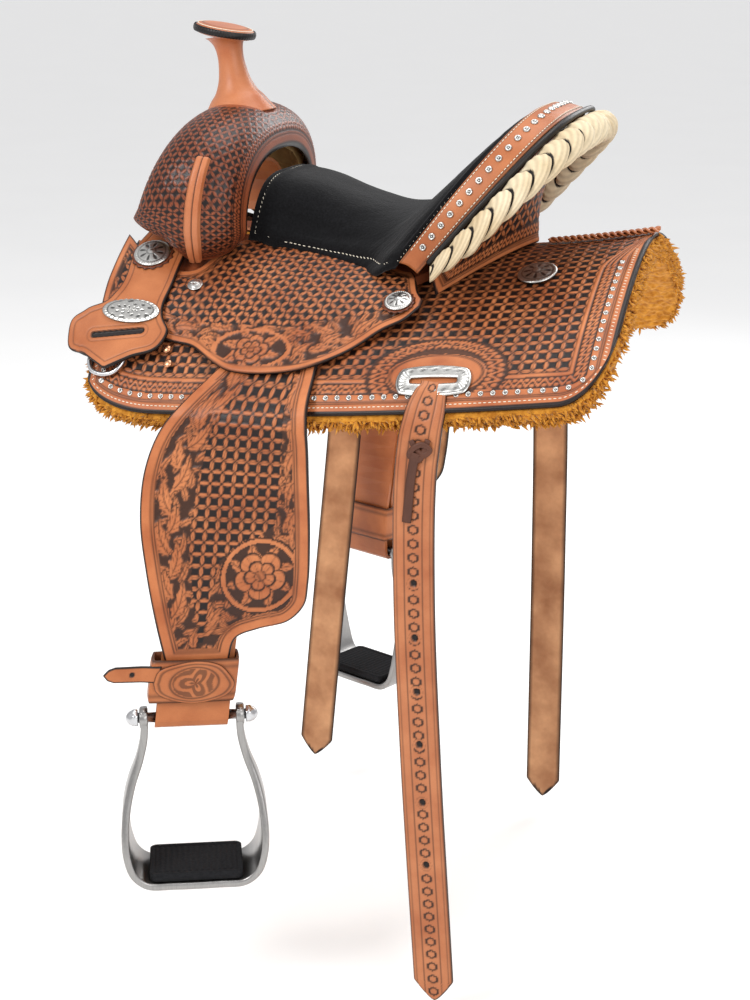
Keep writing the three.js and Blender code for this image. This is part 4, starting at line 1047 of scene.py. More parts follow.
def concho_top(r, a):
    rope = 0.7 * np.abs(np.sin(a * 18 + 6 * r)) * np.exp(-((r - 0.9) / 0.07) ** 2)
    petals = np.cos(a * 8) * np.exp(-((r - 0.5) / 0.2) ** 2)
    cut = smooth((petals - 0.2) / 0.3) * 0.8 + 0.85 * np.exp(-((r - 0.79) / 0.025) ** 2)
    centre = 1.2 * np.exp(-(r / 0.2) ** 2)
    return 4.6 - 2.9 * r ** 2 + rope + centre - 0.4 * cut, np.clip(cut + 0.8 * np.exp(-((r - 0.25) / 0.03) ** 2), 0, 1)


def build_conchos():
    rows = (("front_concho", -243, .412, 20, plate_height(.412) + 4.5, 23),
            ("seat_concho", 50, .538, 15, 0, 17.5),
            ("rear_concho", 179, .313, 21, 0, 0))
    for name, side in SIDES.items():
        for node, x, t, r, level, rosette in rows:
            if node == "seat_concho":
                level = float(jockey_height(x, t)) + 4.5
            o, n, x1 = saddle_place(side, x, t, level + 1.9)
            place = (o[None], n[None], x1[None])
            scatter(f"{name}_{node}_silver", disc(r, concho_top, 22, 108), place, SILVER, "saddle",
                    (f"{name}_{node}",))
            if rosette:
                scallop = lambda q, a: (1.2 - 0.9 * q ** 8 + 0 * a, 0.35 + 0.5 * (q > 0.93) + 0 * a)
                tv, tf, td = disc(rosette, scallop, 12, 96, base=-0.3)
                ang = np.arctan2(tv[:, 1], tv[:, 0])
                rad = np.hypot(tv[:, 0], tv[:, 1]) / rosette
                grow = 1 + 0.05 * np.cos(ang * 16) * rad ** 6
                tv[:, 0] *= grow
                tv[:, 1] *= grow
                o2 = o - n * 1.2
                scatter(f"{name}_{node}_rosette", (tv, tf, td), (o2[None], n[None], x1[None]),
                        SWELL_LEATHER, "saddle")
        level = float(jockey_height(-183, .505)) + 4.5
        o, n, x1 = saddle_place(side, -183, .505, level + 0.6)
        washer = lambda r, a: (np.interp(r, [0, .3, .34, .62, .66, .95, 1], [2.2, 2.6, 2.6, 2.0, 1.1, .9, .4]) - 1.1 * (np.abs(r * np.sin(a)) < 0.07) * (r < 0.55), 0.8 * (np.abs(r * np.sin(a)) < 0.07) * (r < 0.55) + 0.6 * np.exp(-((r - .64) / .03) ** 2))
        scatter(f"{name}_screw_silver", disc(8.5, washer, 18, 60), (o[None], n[None], x1[None]), SILVER,
                "saddle",
                (f"{name}_jockey_screw",))
        build_slot_plate(name, side)


def rounded(half_x, half_y, corner, count):
    a = np.linspace(0, 2 * np.pi, count, endpoint=False)
    c, s = np.cos(a), np.sin(a)
    p = np.stack([np.sign(c) * (half_x - corner) * np.minimum(1, np.abs(c) * 1.6) + corner * c,
                  np.sign(s) * (half_y - corner) * np.minimum(1, np.abs(s) * 1.6) + corner * s], -1)
    return p


def build_slot_plate(name, side):
    o, n, x = saddle_place(side, 108, 0.852, 1.8)
    y = np.cross(n, x)
    count, rings = 160, 12
    outer, inner = rounded(39.5, 18.5, 16, count), rounded(25, 4, 3.5, count)
    verts, dye_and_shade = [], []
    for k in range(rings + 1):
        f = k / rings
        p = mix(inner, outer, f)
        z = 2.6 - 1.4 * f ** 10 - 0.8 * (1 - f) ** 10 - 0.45 * np.exp(-((f - 0.82) / 0.04) ** 2)
        wave = np.sin(np.arange(count) * 2 * np.pi * 22 / count + f * 9) * np.exp(-((f - 0.55) / 0.2) ** 2)
        verts += [o + x * q[0] + y * q[1] + n * (z - 0.3 * w_) for q, w_ in zip(p, wave)]
        dye_and_shade += list(np.clip(0.9 * np.exp(-((f - 0.82) / 0.04) ** 2) + 0.7 * smooth((wave - 0.5) / 0.3), 0, 1))
    for p in (outer, inner):
        verts += [o + x * q[0] + y * q[1] for q in p]
        dye_and_shade += [0.5] * count
    faces = []
    nxt = lambda k: (k + 1) % count
    for r in range(rings):
        faces += [[r * count + k, (r + 1) * count + k, (r + 1) * count + nxt(k),
                   r * count + nxt(k)] for k in range(count)]
    top, low_out, low_in = rings * count, (rings + 1) * count, (rings + 2) * count
    for k in range(count):
        faces.append([top + k, low_out + k, low_out + nxt(k), top + nxt(k)])
        faces.append([nxt(k), low_in + nxt(k), low_in + k, k])
        faces.append([low_out + k, low_in + k, low_in + nxt(k), low_out + nxt(k)])
    piece(f"{name}_slot_plate_silver", np.array(verts), faces, SILVER, "saddle",
          (f"{name}_slot_plate",), dye_and_shade)


# ------------------------------------------------------------------ fenders and leathers


FENDER_FRONT = through([[2, -22], [35, -47], [70, -69], [110, -79], [160, -77], [215, -64], [270, -48],
                        [312, -34]])
FENDER_REAR = through([[2, 80], [60, 92], [115, 98], [175, 104], [225, 107], [250, 105], [268, 90],
                       [276, 60], [286, 37], [312, 32]])


TUCK_HEIGHT = 6.0  # the fender's top above the skirt, under the jockey
LEAVE_FROM, LEAVE_OVER = 65, 55  # where the fender parts from the skirt, and over what drop


def leg_sheet(side, s, w, n):
    """The leg's surface; its top lies against the skirt, under the seat jockey."""
    out = leg_point(side, s, w, n)
    x, z = out[..., 0], out[..., 2]
    low, high = np.zeros_like(x), np.ones_like(x)
    for _ in range(16):
        t = (low + high) / 2
        above = saddle_point(1, x, t, TUCK_HEIGHT)[..., 2] > z
        low, high = np.where(above, t, low), np.where(above, high, t)
    tucked = saddle_point(1, x, low, TUCK_HEIGHT)[..., 1]
    leave = smooth((-z - LEAVE_FROM) / LEAVE_OVER)
    y = mix(tucked, np.abs(out[..., 1]), leave)
    return np.stack([x, side * y, z], -1)


def build_fenders():
    for name, side in SIDES.items():
        u, v = grid(33, 54)
        s = mix(-18, 312, v)
        f, r = FENDER_FRONT(np.maximum(s, 2)), FENDER_REAR(np.maximum(s, 2))
        w = mix(f, r, u)
        sheet = Sheet(leg_sheet(side, s, w, 4.5), (0, side, 0))
        sheet.set_flat(w * 1.0, s * 1.0)
        a, b, d = sheet.a, sheet.b, sheet.d
        d = np.where((s < 20), np.minimum(w - f, r - w), d)
        sheet.d = d
        carve = Carving(a, b)
        carve.fill(14, 22, lambda px, py: -1.5 - 0.5 * np.sign(px - 20) + 0.004 * (py - 150), 12)
        carve.scroll([(-30, 292), (-34, 240), (-42, 190), (-46, 140), (-38, 92), (-14, 46), (2, 10)], 34)
        carve.scroll([(70, 8), (80, 60), (82, 110), (86, 150), (82, 172)], 26, side=-1)
        carve.scroll([(-8, 300), (4, 274), (16, 262)], 24)
        petal = Carving(a, b)
        for k in range(8):
            petal.leaf(56, 216, 0.2 + k * math.pi / 4, 36, 21, 0.25)
        petal.flower(56, 216, 27, 5)
        petal.flower(56, 216, 16, 5)
        ring_gap = np.hypot(a - 56, b - 216)
        grain = basket(a, b, 12.5)
        west = np.interp(b, [-20, 10, 60, 120, 180, 240, 290, 312], [24, 12, -10, -20, -22, -12, -2, 2])
        east = np.interp(b, [-20, 10, 60, 120, 160, 178, 200, 240, 270, 312],
                         [56, 60, 66, 70, 66, 44, 12, 6, 4, 2])
        in_basket = (a > west) & (a < east) & (ring_gap > 43) & (b < 290)
        rail = lines(d, (11.5, 14.5))
        h, dye_and_shade = choose([(d < 16, 0.35 - 0.9 * rail, 0.8 * rail), (in_basket, *grain),
                         (ring_gap < 36, petal.h, petal.cut), (np.abs(ring_gap - 38.5) < 2.4, 0.9 + 0 * a,
                                                               0.05 + 0 * a),
                         (ring_gap < 42.5, -0.7 + 0 * a, 0.95 + 0 * a), (d >= 0, carve.h, carve.cut)])
        dye_and_shade = np.maximum(dye_and_shade, smooth((2.6 - d) / 1.0))
        obj = sheet.build(f"{name}_fender_tooled", h * 0.9, dye_and_shade, 4.2, TOOLED, None,
                          (f"{name}_fender", f"{name}_stirrup_leather"))
        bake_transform(obj)
        build_hobble(name, side)


def build_hobble(name, side):
    """The strap around the fender's end: a band, an oval plate with a moulded motif, and a tongue."""
    count = 72
    half, outer, inner, corner = 47, 13, -20, 6
    ring = rounded(half, (outer - inner) / 2, corner, count)
    ring[:, 1] += (outer + inner) / 2
    rows = np.linspace(306, 352, 13)
    verts, dye_and_shade = [], []
    for k, s in enumerate(rows):
        e = abs(k - 6) / 6
        pinch = 1 - 0.03 * e ** 8
        p = leg_point(side, s, ring[:, 0] * pinch - 3, ring[:, 1] * pinch)
        verts += list(p)
        dye_and_shade += [float(e > 0.95) * 0.9 + 0.5 * float(abs(e - 0.72) < 0.06)] * count
    inner_ring = rounded(half - 4, (outer - inner) / 2 - 4, 3, count)
    inner_ring[:, 1] += (outer + inner) / 2
    base = len(verts)
    for s in rows:
        verts += list(leg_point(side, s, inner_ring[:, 0] - 3, inner_ring[:, 1]))
        dye_and_shade += [0.6] * count
    faces = []
    n, nxt = len(rows), lambda q: (q + 1) % count
    for r in range(n - 1):
        for k in range(count):
            a, b, c, d = r * count + k, r * count + nxt(k), (r + 1) * count + nxt(k), (r + 1) * count + k
            faces += [[a, b, c, d], [base + d, base + c, base + b, base + a]]
    for k in range(count):
        faces.append([base + k, base + nxt(k), nxt(k), k])
        e = (n - 1) * count
        faces.append([e + k, e + nxt(k), base + e + nxt(k), base + e + k])
    if side > 0:
        faces = [q[::-1] for q in faces]
    body = f"{name}_fender"
    piece(f"{name}_hobble_band", np.array(verts), faces, PLAIN, body,
          (f"{name}_hobble_strap",), dye_and_shade)
    outline = spline([(-44, 0), (-40, -13), (-22, -20), (0, -23), (24, -18), (38, -4), (42, 4), (36, 14),
                      (18, 21), (-2, 23), (-26, 18),
                      (-40, 10), (-44, 0)], 8)[:-1]
    ang = np.unwrap(np.arctan2(outline[:, 1], outline[:, 0]))
    rad = np.hypot(outline[:, 0], outline[:, 1])
    order = np.argsort(ang % (2 * np.pi))
    radius_at = lambda q: np.interp(q % (2 * np.pi), (ang % (2 * np.pi))[order], rad[order], period=2 * np.pi)
    segs, rings = 128, 30
    q = np.linspace(0, 2 * np.pi, segs, endpoint=False)
    verts, dye_and_shade = [], []
    for layer in (1, 0):
        for r in range(rings + 1):
            f = r / rings
            w, s = radius_at(q) * f * np.cos(q), radius_at(q) * f * np.sin(q)
            oval = np.hypot((w + 1) / 27, s / 18)
            leafy = np.sin(np.hypot(w, s) * 0.55 + 3 * np.cos(q * 3))
            cut = smooth((leafy - 0.1) / 0.4) * (oval < 0.86)
            groove = np.exp(-((oval - 0.95) / 0.05) ** 2) + np.exp(-((f - 0.88) / 0.03) ** 2)
            z = outer + (3.8 - 2.2 * f ** 12 + 0.5 * cut - 0.5 * groove if layer else 0.3 + 0 * w)
            verts += list(leg_point(side, 329 + s, w - 1, z))
            dye_and_shade += list(np.clip(0.75 * groove + 0.6 * (1 - cut) * (oval < 0.86) + 0.9 * (f > 0.975), 0,
                                1) if layer else 0.5 + 0 * w)
    faces, block = [], (rings + 1) * segs
    for r in range(rings):
        for k in range(segs):
            a, b, c, d = r * segs + k, r * segs + (k + 1) % segs, (r + 1) * segs + (k + 1) % segs, (r + 1) * segs + k
            faces += [[a, d, c, b], [block + b, block + c, block + d, block + a]]
    e = rings * segs
    faces += [[e + k, block + e + k, block + e + (k + 1) % segs, e + (k + 1) % segs] for k in range(segs)]
    if side < 0:
        faces = [q_[::-1] for q_ in faces]
    piece(f"{name}_hobble_plate", np.array(verts), faces, PLAIN, body, (), dye_and_shade)
    u, v = grid(14, 4)
    w = mix(-98, -38, u)
    half_s = np.interp(u, [0, 0.08, 0.2, 1], [0.5, 6, 8.5, 9])
    s = 320 + (v - 0.5) * 2 * half_s
    tongue = Sheet(leg_point(side, s, w, 11 + 3.0 * smooth((w + 60) / 20)), (0, side, 0))
    tongue.set_flat(w, s)
    hole = np.hypot(w + 68, s - 320)
    # The hole's dark floor is painted shade standing in for the open hole; the tongue's cut edges are darkened as
    # well.
    stain_and_shade = np.maximum(smooth((3.4 - hole) / 0.8), smooth((2.0 - tongue.d) / 0.8))
    tongue.build(f"{name}_hobble_tongue", -1.6 * smooth((3.2 - hole) / 0.8), stain_and_shade, 3.6, PLAIN, body)


# ------------------------------------------------------------------ stirrups


def build_stirrups():
    half = [(51, 9), (50.5, -4), (51.5, -22), (57, -46), (66, -72), (72, -98), (74.5, -124), (73, -148),
            (66, -169), (52, -180.5),
            (25, -182)]
    left = [(-w, z) for w, z in half]
    curve = spline(left + [(w, z) for w, z in reversed(half)], 7)
    for name, side in SIDES.items():
        body = f"{name}_stirrup"
        turn = math.radians(-24 * side)
        o = leg_point(side, 372, 0, 0)
        ex, ey, ez = np.array([math.cos(turn), math.sin(turn), 0]), np.array([-math.sin(turn),
                                                                              math.cos(turn), 0]), np.array([0, 0, 1])
        place = lambda p: o + p[..., :1] * ex + p[..., 1:2] * ey + p[..., 2:] * ez
        depth = mix(20, 75, smooth((-30 - curve[:, 1]) / 130)) / 2
        rings = []
        tangent = unit(np.gradient(curve, axis=0))
        for (w, z), dep, (tx, tz) in zip(curve, depth, tangent):
            sec = np.array([(4, dep - 2), (3.2, dep - .6), (1.8, dep), (-1.8, dep), (-3.2, dep - .6),
                            (-4, dep - 2), (-4, -dep + 2),
                            (-3.2, -dep + .6), (-1.8, -dep), (1.8, -dep), (3.2, -dep + .6), (4, -dep + 2)])
            rings.append(np.stack([w - tz * sec[:, 0], sec[:, 1], z + tx * sec[:, 0]], -1))
        v, f = tube_mesh(place(np.array(rings)))
        piece(f"{name}_stirrup_bow", v, f, ALUMINIUM, body, (f"{name}_stirrup_frame",))
        for k, sign in enumerate((-1, 1)):
            eye = sweep(np.array([[sign * 46.6, 0, 0], [sign * 47.4, 0, 0], [sign * 54.6, 0, 0],
                                  [sign * 55.4, 0, 0]]), circle(1, 32),
                        (0, 0, 1))
            eye = eye.copy()
            for r, rad in enumerate((10.2, 11.2, 11.2, 10.2)):
                centre = np.array([sign * (46.6, 47.4, 54.6, 55.4)[r], 0, 0])
                eye[r] = centre + (eye[r] - centre) * rad
            v, f = tube_mesh(place(eye))
            piece(f"{name}_stirrup_eye_{k}", v, f, ALUMINIUM, body)
        build_tread(name, body, place)
        profile = [(0, 0.2), (57, 5.5), (57.1, 8.6), (57.8, 9.2), (62.4, 9.2), (63.2, 8.4), (66, 7.2),
                   (68.4, 4.8), (69.8, 2.2), (70.2, 0.3)]
        line = [(-p[0], p[1]) for p in reversed(profile[1:])] + [(p[0], p[1]) for p in profile[1:]]
        rings = []
        for k, (px, r) in enumerate(line):
            a = np.linspace(0, 2 * np.pi, 36, endpoint=False)
            hexed = 0.93 / np.cos((a + math.pi / 6) % (math.pi / 3) - math.pi / 6) if 57 < abs(px) < 63 else 1 + 0 * a
            rings.append(np.stack([px + 0 * a, r * hexed * np.cos(a), r * hexed * np.sin(a)], -1))
        v, f = tube_mesh(place(np.array(rings)))
        piece(f"{name}_stirrup_nuts", v, f, STEEL, body, (f"{name}_stirrup_bolt",))


def build_tread(name, body, place):
    """A rubber pad with a raised edge and ribs."""
    nu, nv = 101, 61
    x, y = np.meshgrid(np.linspace(-50, 50, nu), np.linspace(-35, 35, nv))
    corner = np.hypot(np.maximum(np.abs(x) - 42, 0), np.maximum(np.abs(y) - 27, 0))
    shrink = np.where(corner > 8, 8 / np.maximum(corner, 1e-6), 1)
    x = np.where(np.abs(x) > 42, np.sign(x) * (42 + (np.abs(x) - 42) * shrink), x)
    y = np.where(np.abs(y) > 27, np.sign(y) * (27 + (np.abs(y) - 27) * shrink), y)
    ribs = 0.9 * smooth((np.cos(x * 2 * np.pi / 6.2) + 0.1) / 0.5) * ((np.abs(x) < 44) & (np.abs(y) < 29))
    z = -168.2 + ribs + 1.2 * ((np.abs(x) > 45) | (np.abs(y) > 30.5))
    top = place(np.stack([x, y, z], -1))
    low = place(np.stack([x, y, np.full_like(x, -176.0)], -1))
    v, f, _ = slab_mesh(top, low)
    piece(f"{name}_tread_rubber", v, f, RUBBER, body, (f"{name}_stirrup_tread",))


# ------------------------------------------------------------------ swell, horn and hand hole


def build_swell():
    u, v = grid(100, 34)
    sheet = Sheet(swell_point(2 * u - 1, 2 * v - 1), (0, 0, 1))
    p = sheet.p
    radial = p - np.array([-205, 0, 40])
    if (sheet.n * radial).sum() < 0:
        sheet.n, sheet.flip = -sheet.n, not sheet.flip
    across = np.abs(2 * u - 1)
    a = np.sign(u - 0.5) * across * 270
    b = (1 - v) * 190
    sheet.set_flat(a, b)
    d = np.minimum(b, 190 - b)
    foot = (1 - across) * 270
    d = np.minimum(d, foot)
    sheet.d = d
    s = np.where(foot < np.minimum(b, 190 - b), b, a)
    w = (d - 19) / 7.0
    sh, sd = serpentine(w, s)
    rail = lines(d, (8.0, 11.2, 26.6))
    grain = basket(np.abs(a), b, 10.0, math.pi / 4)
    neck = np.hypot(p[..., 0] + 192, p[..., 1]) < 44
    h, dye_and_shade = choose([(d < 12, 0.2 - 0.8 * rail, 0.8 * rail), (d < 26, sh * 0.9, sd),
                     (neck, 0.2 + 0 * a, 0 * a),
                     (d >= 0, *grain)])
    dye_and_shade = np.maximum(dye_and_shade, smooth((2.5 - d) / 1.2))
    sheet.build("swell_cover_tooled", h * 0.8, dye_and_shade, 4.0, SWELL_LEATHER, "saddle",
                ("swell_cover",))
    for name, side in SIDES.items():
        u, v = grid(40, 6)
        base = swell_point(side * mix(0.985, 0.42, u), mix(0.09, 0.29, v))
        strip = Sheet(base, (0, side, 0.4))
        crown = np.minimum(v, 1 - v) * 2
        h = 1.2 + 3.4 * smooth(crown / 0.4) - 1.6 * np.exp(-((v - 0.5) / 0.035) ** 2) - 0.5 * np.exp(-((np.abs(v - 0.5) - 0.4) / 0.03) ** 2)
        stain_and_shade = 0.95 * np.exp(-((v - 0.5) / 0.03) ** 2) + 0.8 * smooth((0.06 - crown) / 0.04)
        strip.build(f"{name}_swell_welt_leather", h, np.clip(stain_and_shade, 0, 1), 0.4, HORN_LEATHER, "saddle",
                    (f"{name}_swell_welt",))
    bpy.data.objects["gullet_cover"].data.materials.clear()
    bpy.data.objects["gullet_cover"].data.materials.append(PLAIN)


def lathe_rings(profile, count, ripple=0.0, waves=0):
    a = np.linspace(0, 2 * np.pi, count, endpoint=False)
    return np.array([np.stack([r * np.cos(a), r * np.sin(a),
                               np.full(count, z) + ripple * np.sin(a * waves)], -1) for r, z in profile])


def build_horn():
    tilt = math.radians(9)
    ax = np.array([-math.sin(tilt), 0, math.cos(tilt)])
    ex, ey = np.array([math.cos(tilt), 0, math.sin(tilt)]), np.array([0, 1, 0])
    o = np.array([-192, 0, 185.0])
    put = lambda p, c, x_, y_, z_: c + p[..., :1] * x_ + p[..., 1:2] * y_ + p[..., 2:] * z_
    prof = spline([(42, -16), (34, -5), (29.5, 1.5), (24, 8), (18.5, 20), (15.5, 34), (14.5, 48),
                   (16.5, 60), (21, 67), (25, 70)], 8)
    v, f = tube_mesh(put(lathe_rings(prof, 72), o, ex, ey, ax))
    a = np.tile(np.linspace(0, 2 * np.pi, 72, endpoint=False), len(prof))
    seam = np.exp(-(np.sin(a / 2) / 0.025) ** 2) * 0.8
    piece("horn_neck_leather", v, f, HORN_LEATHER, "saddle", ("horn_neck_wrap",),
          np.clip(seam, 0, 1))
    cap_o = np.array([-206.776, 0, 252.722])
    ct = math.radians(10)
    cz, cx = np.array([math.sin(ct), 0, math.cos(ct)]), np.array([math.cos(ct), 0, -math.sin(ct)])
    top = spline([(0.4, -0.2), (20, 0.0), (30, 1.4), (33.2, 4), (33.6, 7), (31.5, 10.4), (27, 12.4),
                  (14, 13.2), (0.4, 13.3)], 8)
    rings = put(lathe_rings(top, 96), cap_o, cx, ey, cz)
    v, f = tube_mesh(rings)
    rr, zz = np.repeat(top[:, 0], 96), np.repeat(top[:, 1], 96)
    dye_and_shade = np.clip(0.8 * np.exp(-((rr - 26) / 0.6) ** 2) * (zz > 9) + 0.8 * np.exp(-((rr - 23.6) / 0.6) ** 2) * (zz > 9), 0, 1)
    piece("horn_cap_leather", v, f, HORN_LEATHER, "saddle", ("horn_cap",), dye_and_shade)
    a = np.linspace(0, 2 * np.pi, 66, endpoint=False)
    ring = np.stack([30.6 * np.cos(a), 30.6 * np.sin(a), np.full(66, 11.4)], -1)
    nrm = unit(np.stack([0.5 * np.cos(a), 0.5 * np.sin(a), 0 * a + 1], -1))
    tan = np.stack([-np.sin(a), np.cos(a), 0 * a], -1)
    zero = np.zeros(3)
    scatter("horn_cap_stitches", STITCH, (put(ring, cap_o, cx, ey, cz), put(nrm, zero, cx, ey, cz),
                                          put(tan, zero, cx, ey, cz)),
            THREAD, "saddle")
    a = np.linspace(0, 2 * np.pi, 181)
    path = put(np.stack([33.4 * np.cos(a), 33.4 * np.sin(a), 6.4 + 0.4 * np.sin(60 * a)], -1), cap_o, cx,
               ey, cz)
    tube("horn_cap_black_binding", path, 1.9, BLACK, "saddle", up=cz, ratio=2.0,
         replaces=("horn_cap_binding",))


# ------------------------------------------------------------------ seat and cantle


def build_seat():
    u, v = grid(56, 60)
    w = 2 * v - 1
    seat = seat_point(u, w)
    reach = smooth((np.abs(w) - 0.84) / 0.16) * smooth((u - 0.02) / 0.1) * (1 - smooth((u - 0.8) / 0.14))
    seat[..., 1] += np.sign(w) * 7 * reach
    seat[..., 2] -= 6 * reach
    sheet = Sheet(seat, (0, 0, 1))
    d = sheet.d
    wrinkle = 0.35 * noise2(sheet.a, sheet.b, 26, 5) + 0.15 * noise2(sheet.a, sheet.b, 8, 6)
    ridge = 1.4 * np.exp(-((d - 13) / 5) ** 2) - 1.3 * np.exp(-((d - 6.5) / 1.4) ** 2)
    h = wrinkle + ridge + 1.5 * smooth(d / 40)
    obj = sheet.build("seat_suede", h, 0 * u, 5.5, SUEDE, "saddle", ("seat_pad",), 5.0)
    stitch_row(sheet, "seat_stitches", "saddle", 6.5, 4.6, lift=-0.9)


def band_point(v, f):
    out, outer, inner = cantle_outward(v), cantle_line(RIM, v), cantle_line(BAND, v)
    outer = outer - 4 * out
    outer[..., 2] += 3
    p = mix(inner, outer, f[..., None])
    p[..., 2] += 3 * np.sin(np.pi * f) + 2
    return p


def build_cantle():
    u, v = grid(110, 6)
    w = 2 * u - 1
    sheet = Sheet(band_point(w * 0.995, mix(0.04, 0.97, v)), (-0.6, 0, 1))
    mid = np.abs(v - 0.5)
    cut = np.exp(-((mid - 0.40) / 0.025) ** 2)
    dye_and_shade = np.maximum(0.8 * cut, smooth((mid - 0.475) / 0.02))
    sheet.d = np.minimum(v, 1 - v) * 24
    sheet.build("cantle_band_leather", -0.5 * cut, dye_and_shade, 4.0, PLAIN, "saddle",
                ("cantle_face_band",))
    dense = np.linspace(-0.97, 0.97, 1200)
    for label, share, pitch, template, mat, sc in (("spots", 0.5, 15.0, SPOT, SILVER, 1.0),
                                                   ("stitches_in", 0.16, 4.6, STITCH, THREAD, 1.0),
                                                   ("stitches_out", 0.86, 4.6, STITCH, THREAD, 1.0)):
        line = band_point(dense, np.full(1200, share))
        run = np.concatenate([[0], np.cumsum(np.linalg.norm(np.diff(line, axis=0), axis=1))])
        at = np.arange(pitch / 2, run[-1], pitch)
        vv = np.interp(at, run, dense)
        p0 = band_point(vv, np.full(len(vv), share))
        px = unit(band_point(vv + 0.003, np.full(len(vv), share)) - p0)
        py = unit(band_point(vv, np.full(len(vv), share + 0.02)) - p0)
        n = unit(np.cross(px, py))
        n *= np.sign(n[:, 2:] + 1e-6)
        scatter(f"cantle_{label}", template, (p0 + n * 0.2, n, px), mat, "saddle",
                scale=sc)
    vv = np.linspace(-0.975, 0.975, 400)
    out = cantle_outward(vv)
    bead = cantle_line(RIM, vv) + 1.4 * out
    bead[:, 2] += 5.5
    tube("cantle_piping_black", bead, 3.3, BLACK, "saddle", count=12,
         replaces=("cantle_piping",))
    build_rope()
    u, v = grid(96, 26)
    w = 2 * u - 1
    p = back_point(w, mix(0.0, 1.0, v))
    sheet = Sheet(p, (1, 0, 0.2))
    hint = cantle_outward(w)
    if (sheet.n * hint).sum() < 0:
        sheet.n, sheet.flip = -sheet.n, not sheet.flip
    d = sheet.d
    field = basket(sheet.a, sheet.b, 12.0, math.pi / 4)
    sh, sd = serpentine((d - 17) / 6.5, sheet.s)
    rail = lines(d, (6.5, 9.0, 24.4))
    h, dye_and_shade = choose([(d < 10, 0.1 - 0.8 * rail, 0.8 * rail), (d < 24, sh * 0.8, sd), (d >= 0, *field)])
    sheet.build("cantle_back_tooled", h * 0.8, np.maximum(dye_and_shade, smooth((2.2 - d) / 1.0)), 3.8, TOOLED,
                "saddle",
                ("cantle_back_cover",))


def build_rope():
    """The cantle roll: cream rope wound in fat slanting turns, with black ties between them."""
    vv = np.linspace(-0.972, 0.972, 1100)
    out = cantle_outward(vv)
    taper = np.sqrt(np.clip((0.985 - np.abs(vv)) / 0.16, 0, 1))
    centre = cantle_line(RIM, vv) + out * (9 * taper + 4)[:, None]
    centre[:, 2] -= 13 * mix(0.2, 1, taper)
    run = np.concatenate([[0], np.cumsum(np.linalg.norm(np.diff(centre, axis=0), axis=1))])
    run -= run[-1] / 2
    even = np.linspace(run[0], run[-1], 900)
    centre = np.stack([np.interp(even, run, centre[:, k]) for k in range(3)], -1)
    out = unit(np.stack([np.interp(even, run, out[:, k]) for k in range(3)], -1))
    radius = mix(5.5, 15.5, np.interp(even, run, taper))
    count = 56
    ang = np.linspace(0, 2 * np.pi, count, endpoint=False)
    lobe = 27.0
    phase = (np.abs(even)[:, None] + 9.0 * np.sin(ang + 0.6)[None]) / lobe
    cell = np.abs(phase - np.round(phase))
    bulge = np.sin(np.pi * np.clip(cell, 0.02, 0.5)) ** 0.5
    strand = 0.5 + 0.5 * np.cos(2 * np.pi * phase * 3.0 + 7.0 * ang[None])
    rad = radius[:, None] * (0.52 + 0.55 * bulge + 0.05 * strand)
    up = np.array([0, 0, 1.0])
    rings = centre[:, None] + rad[..., None] * (np.cos(ang)[None, :,
                                                            None] * out[:,
                                                                        None] + np.sin(ang)[None, :, None] * up)
    v, f = tube_mesh(rings)
    dye_and_shade = np.clip(smooth((0.075 - cell) / 0.02) + 0.22 * (1 - strand), 0, 1)
    piece("cantle_rope_roll", v, f, ROPE_FIBRE, "saddle", ("cantle_rope",), dye_and_shade.ravel())


def build_braid():
    s = np.linspace(0, 1, 420)
    x = mix(170, 288, s)
    half = mix(3.2, 6.0, smooth(s / 0.3))
    base = along(CROWN_HEIGHT, x) + 4.4
    for k in range(3):
        ph = s * 2 * np.pi * 5.5 + k * 2 * np.pi / 3
        path = np.stack([x, half * np.sin(ph),
                         base + 1.7 * np.sin(2 * ph) - 0.004 * (half * np.sin(ph)) ** 2], -1)
        replaces = ("rear_skirt_braid",) if k == 0 else ()
        tube(f"rear_braid_strand_{k}", path, 2.9, PLAIN, "saddle", ratio=0.45, count=10,
             replaces=replaces)


# ------------------------------------------------------------------ billets and ties


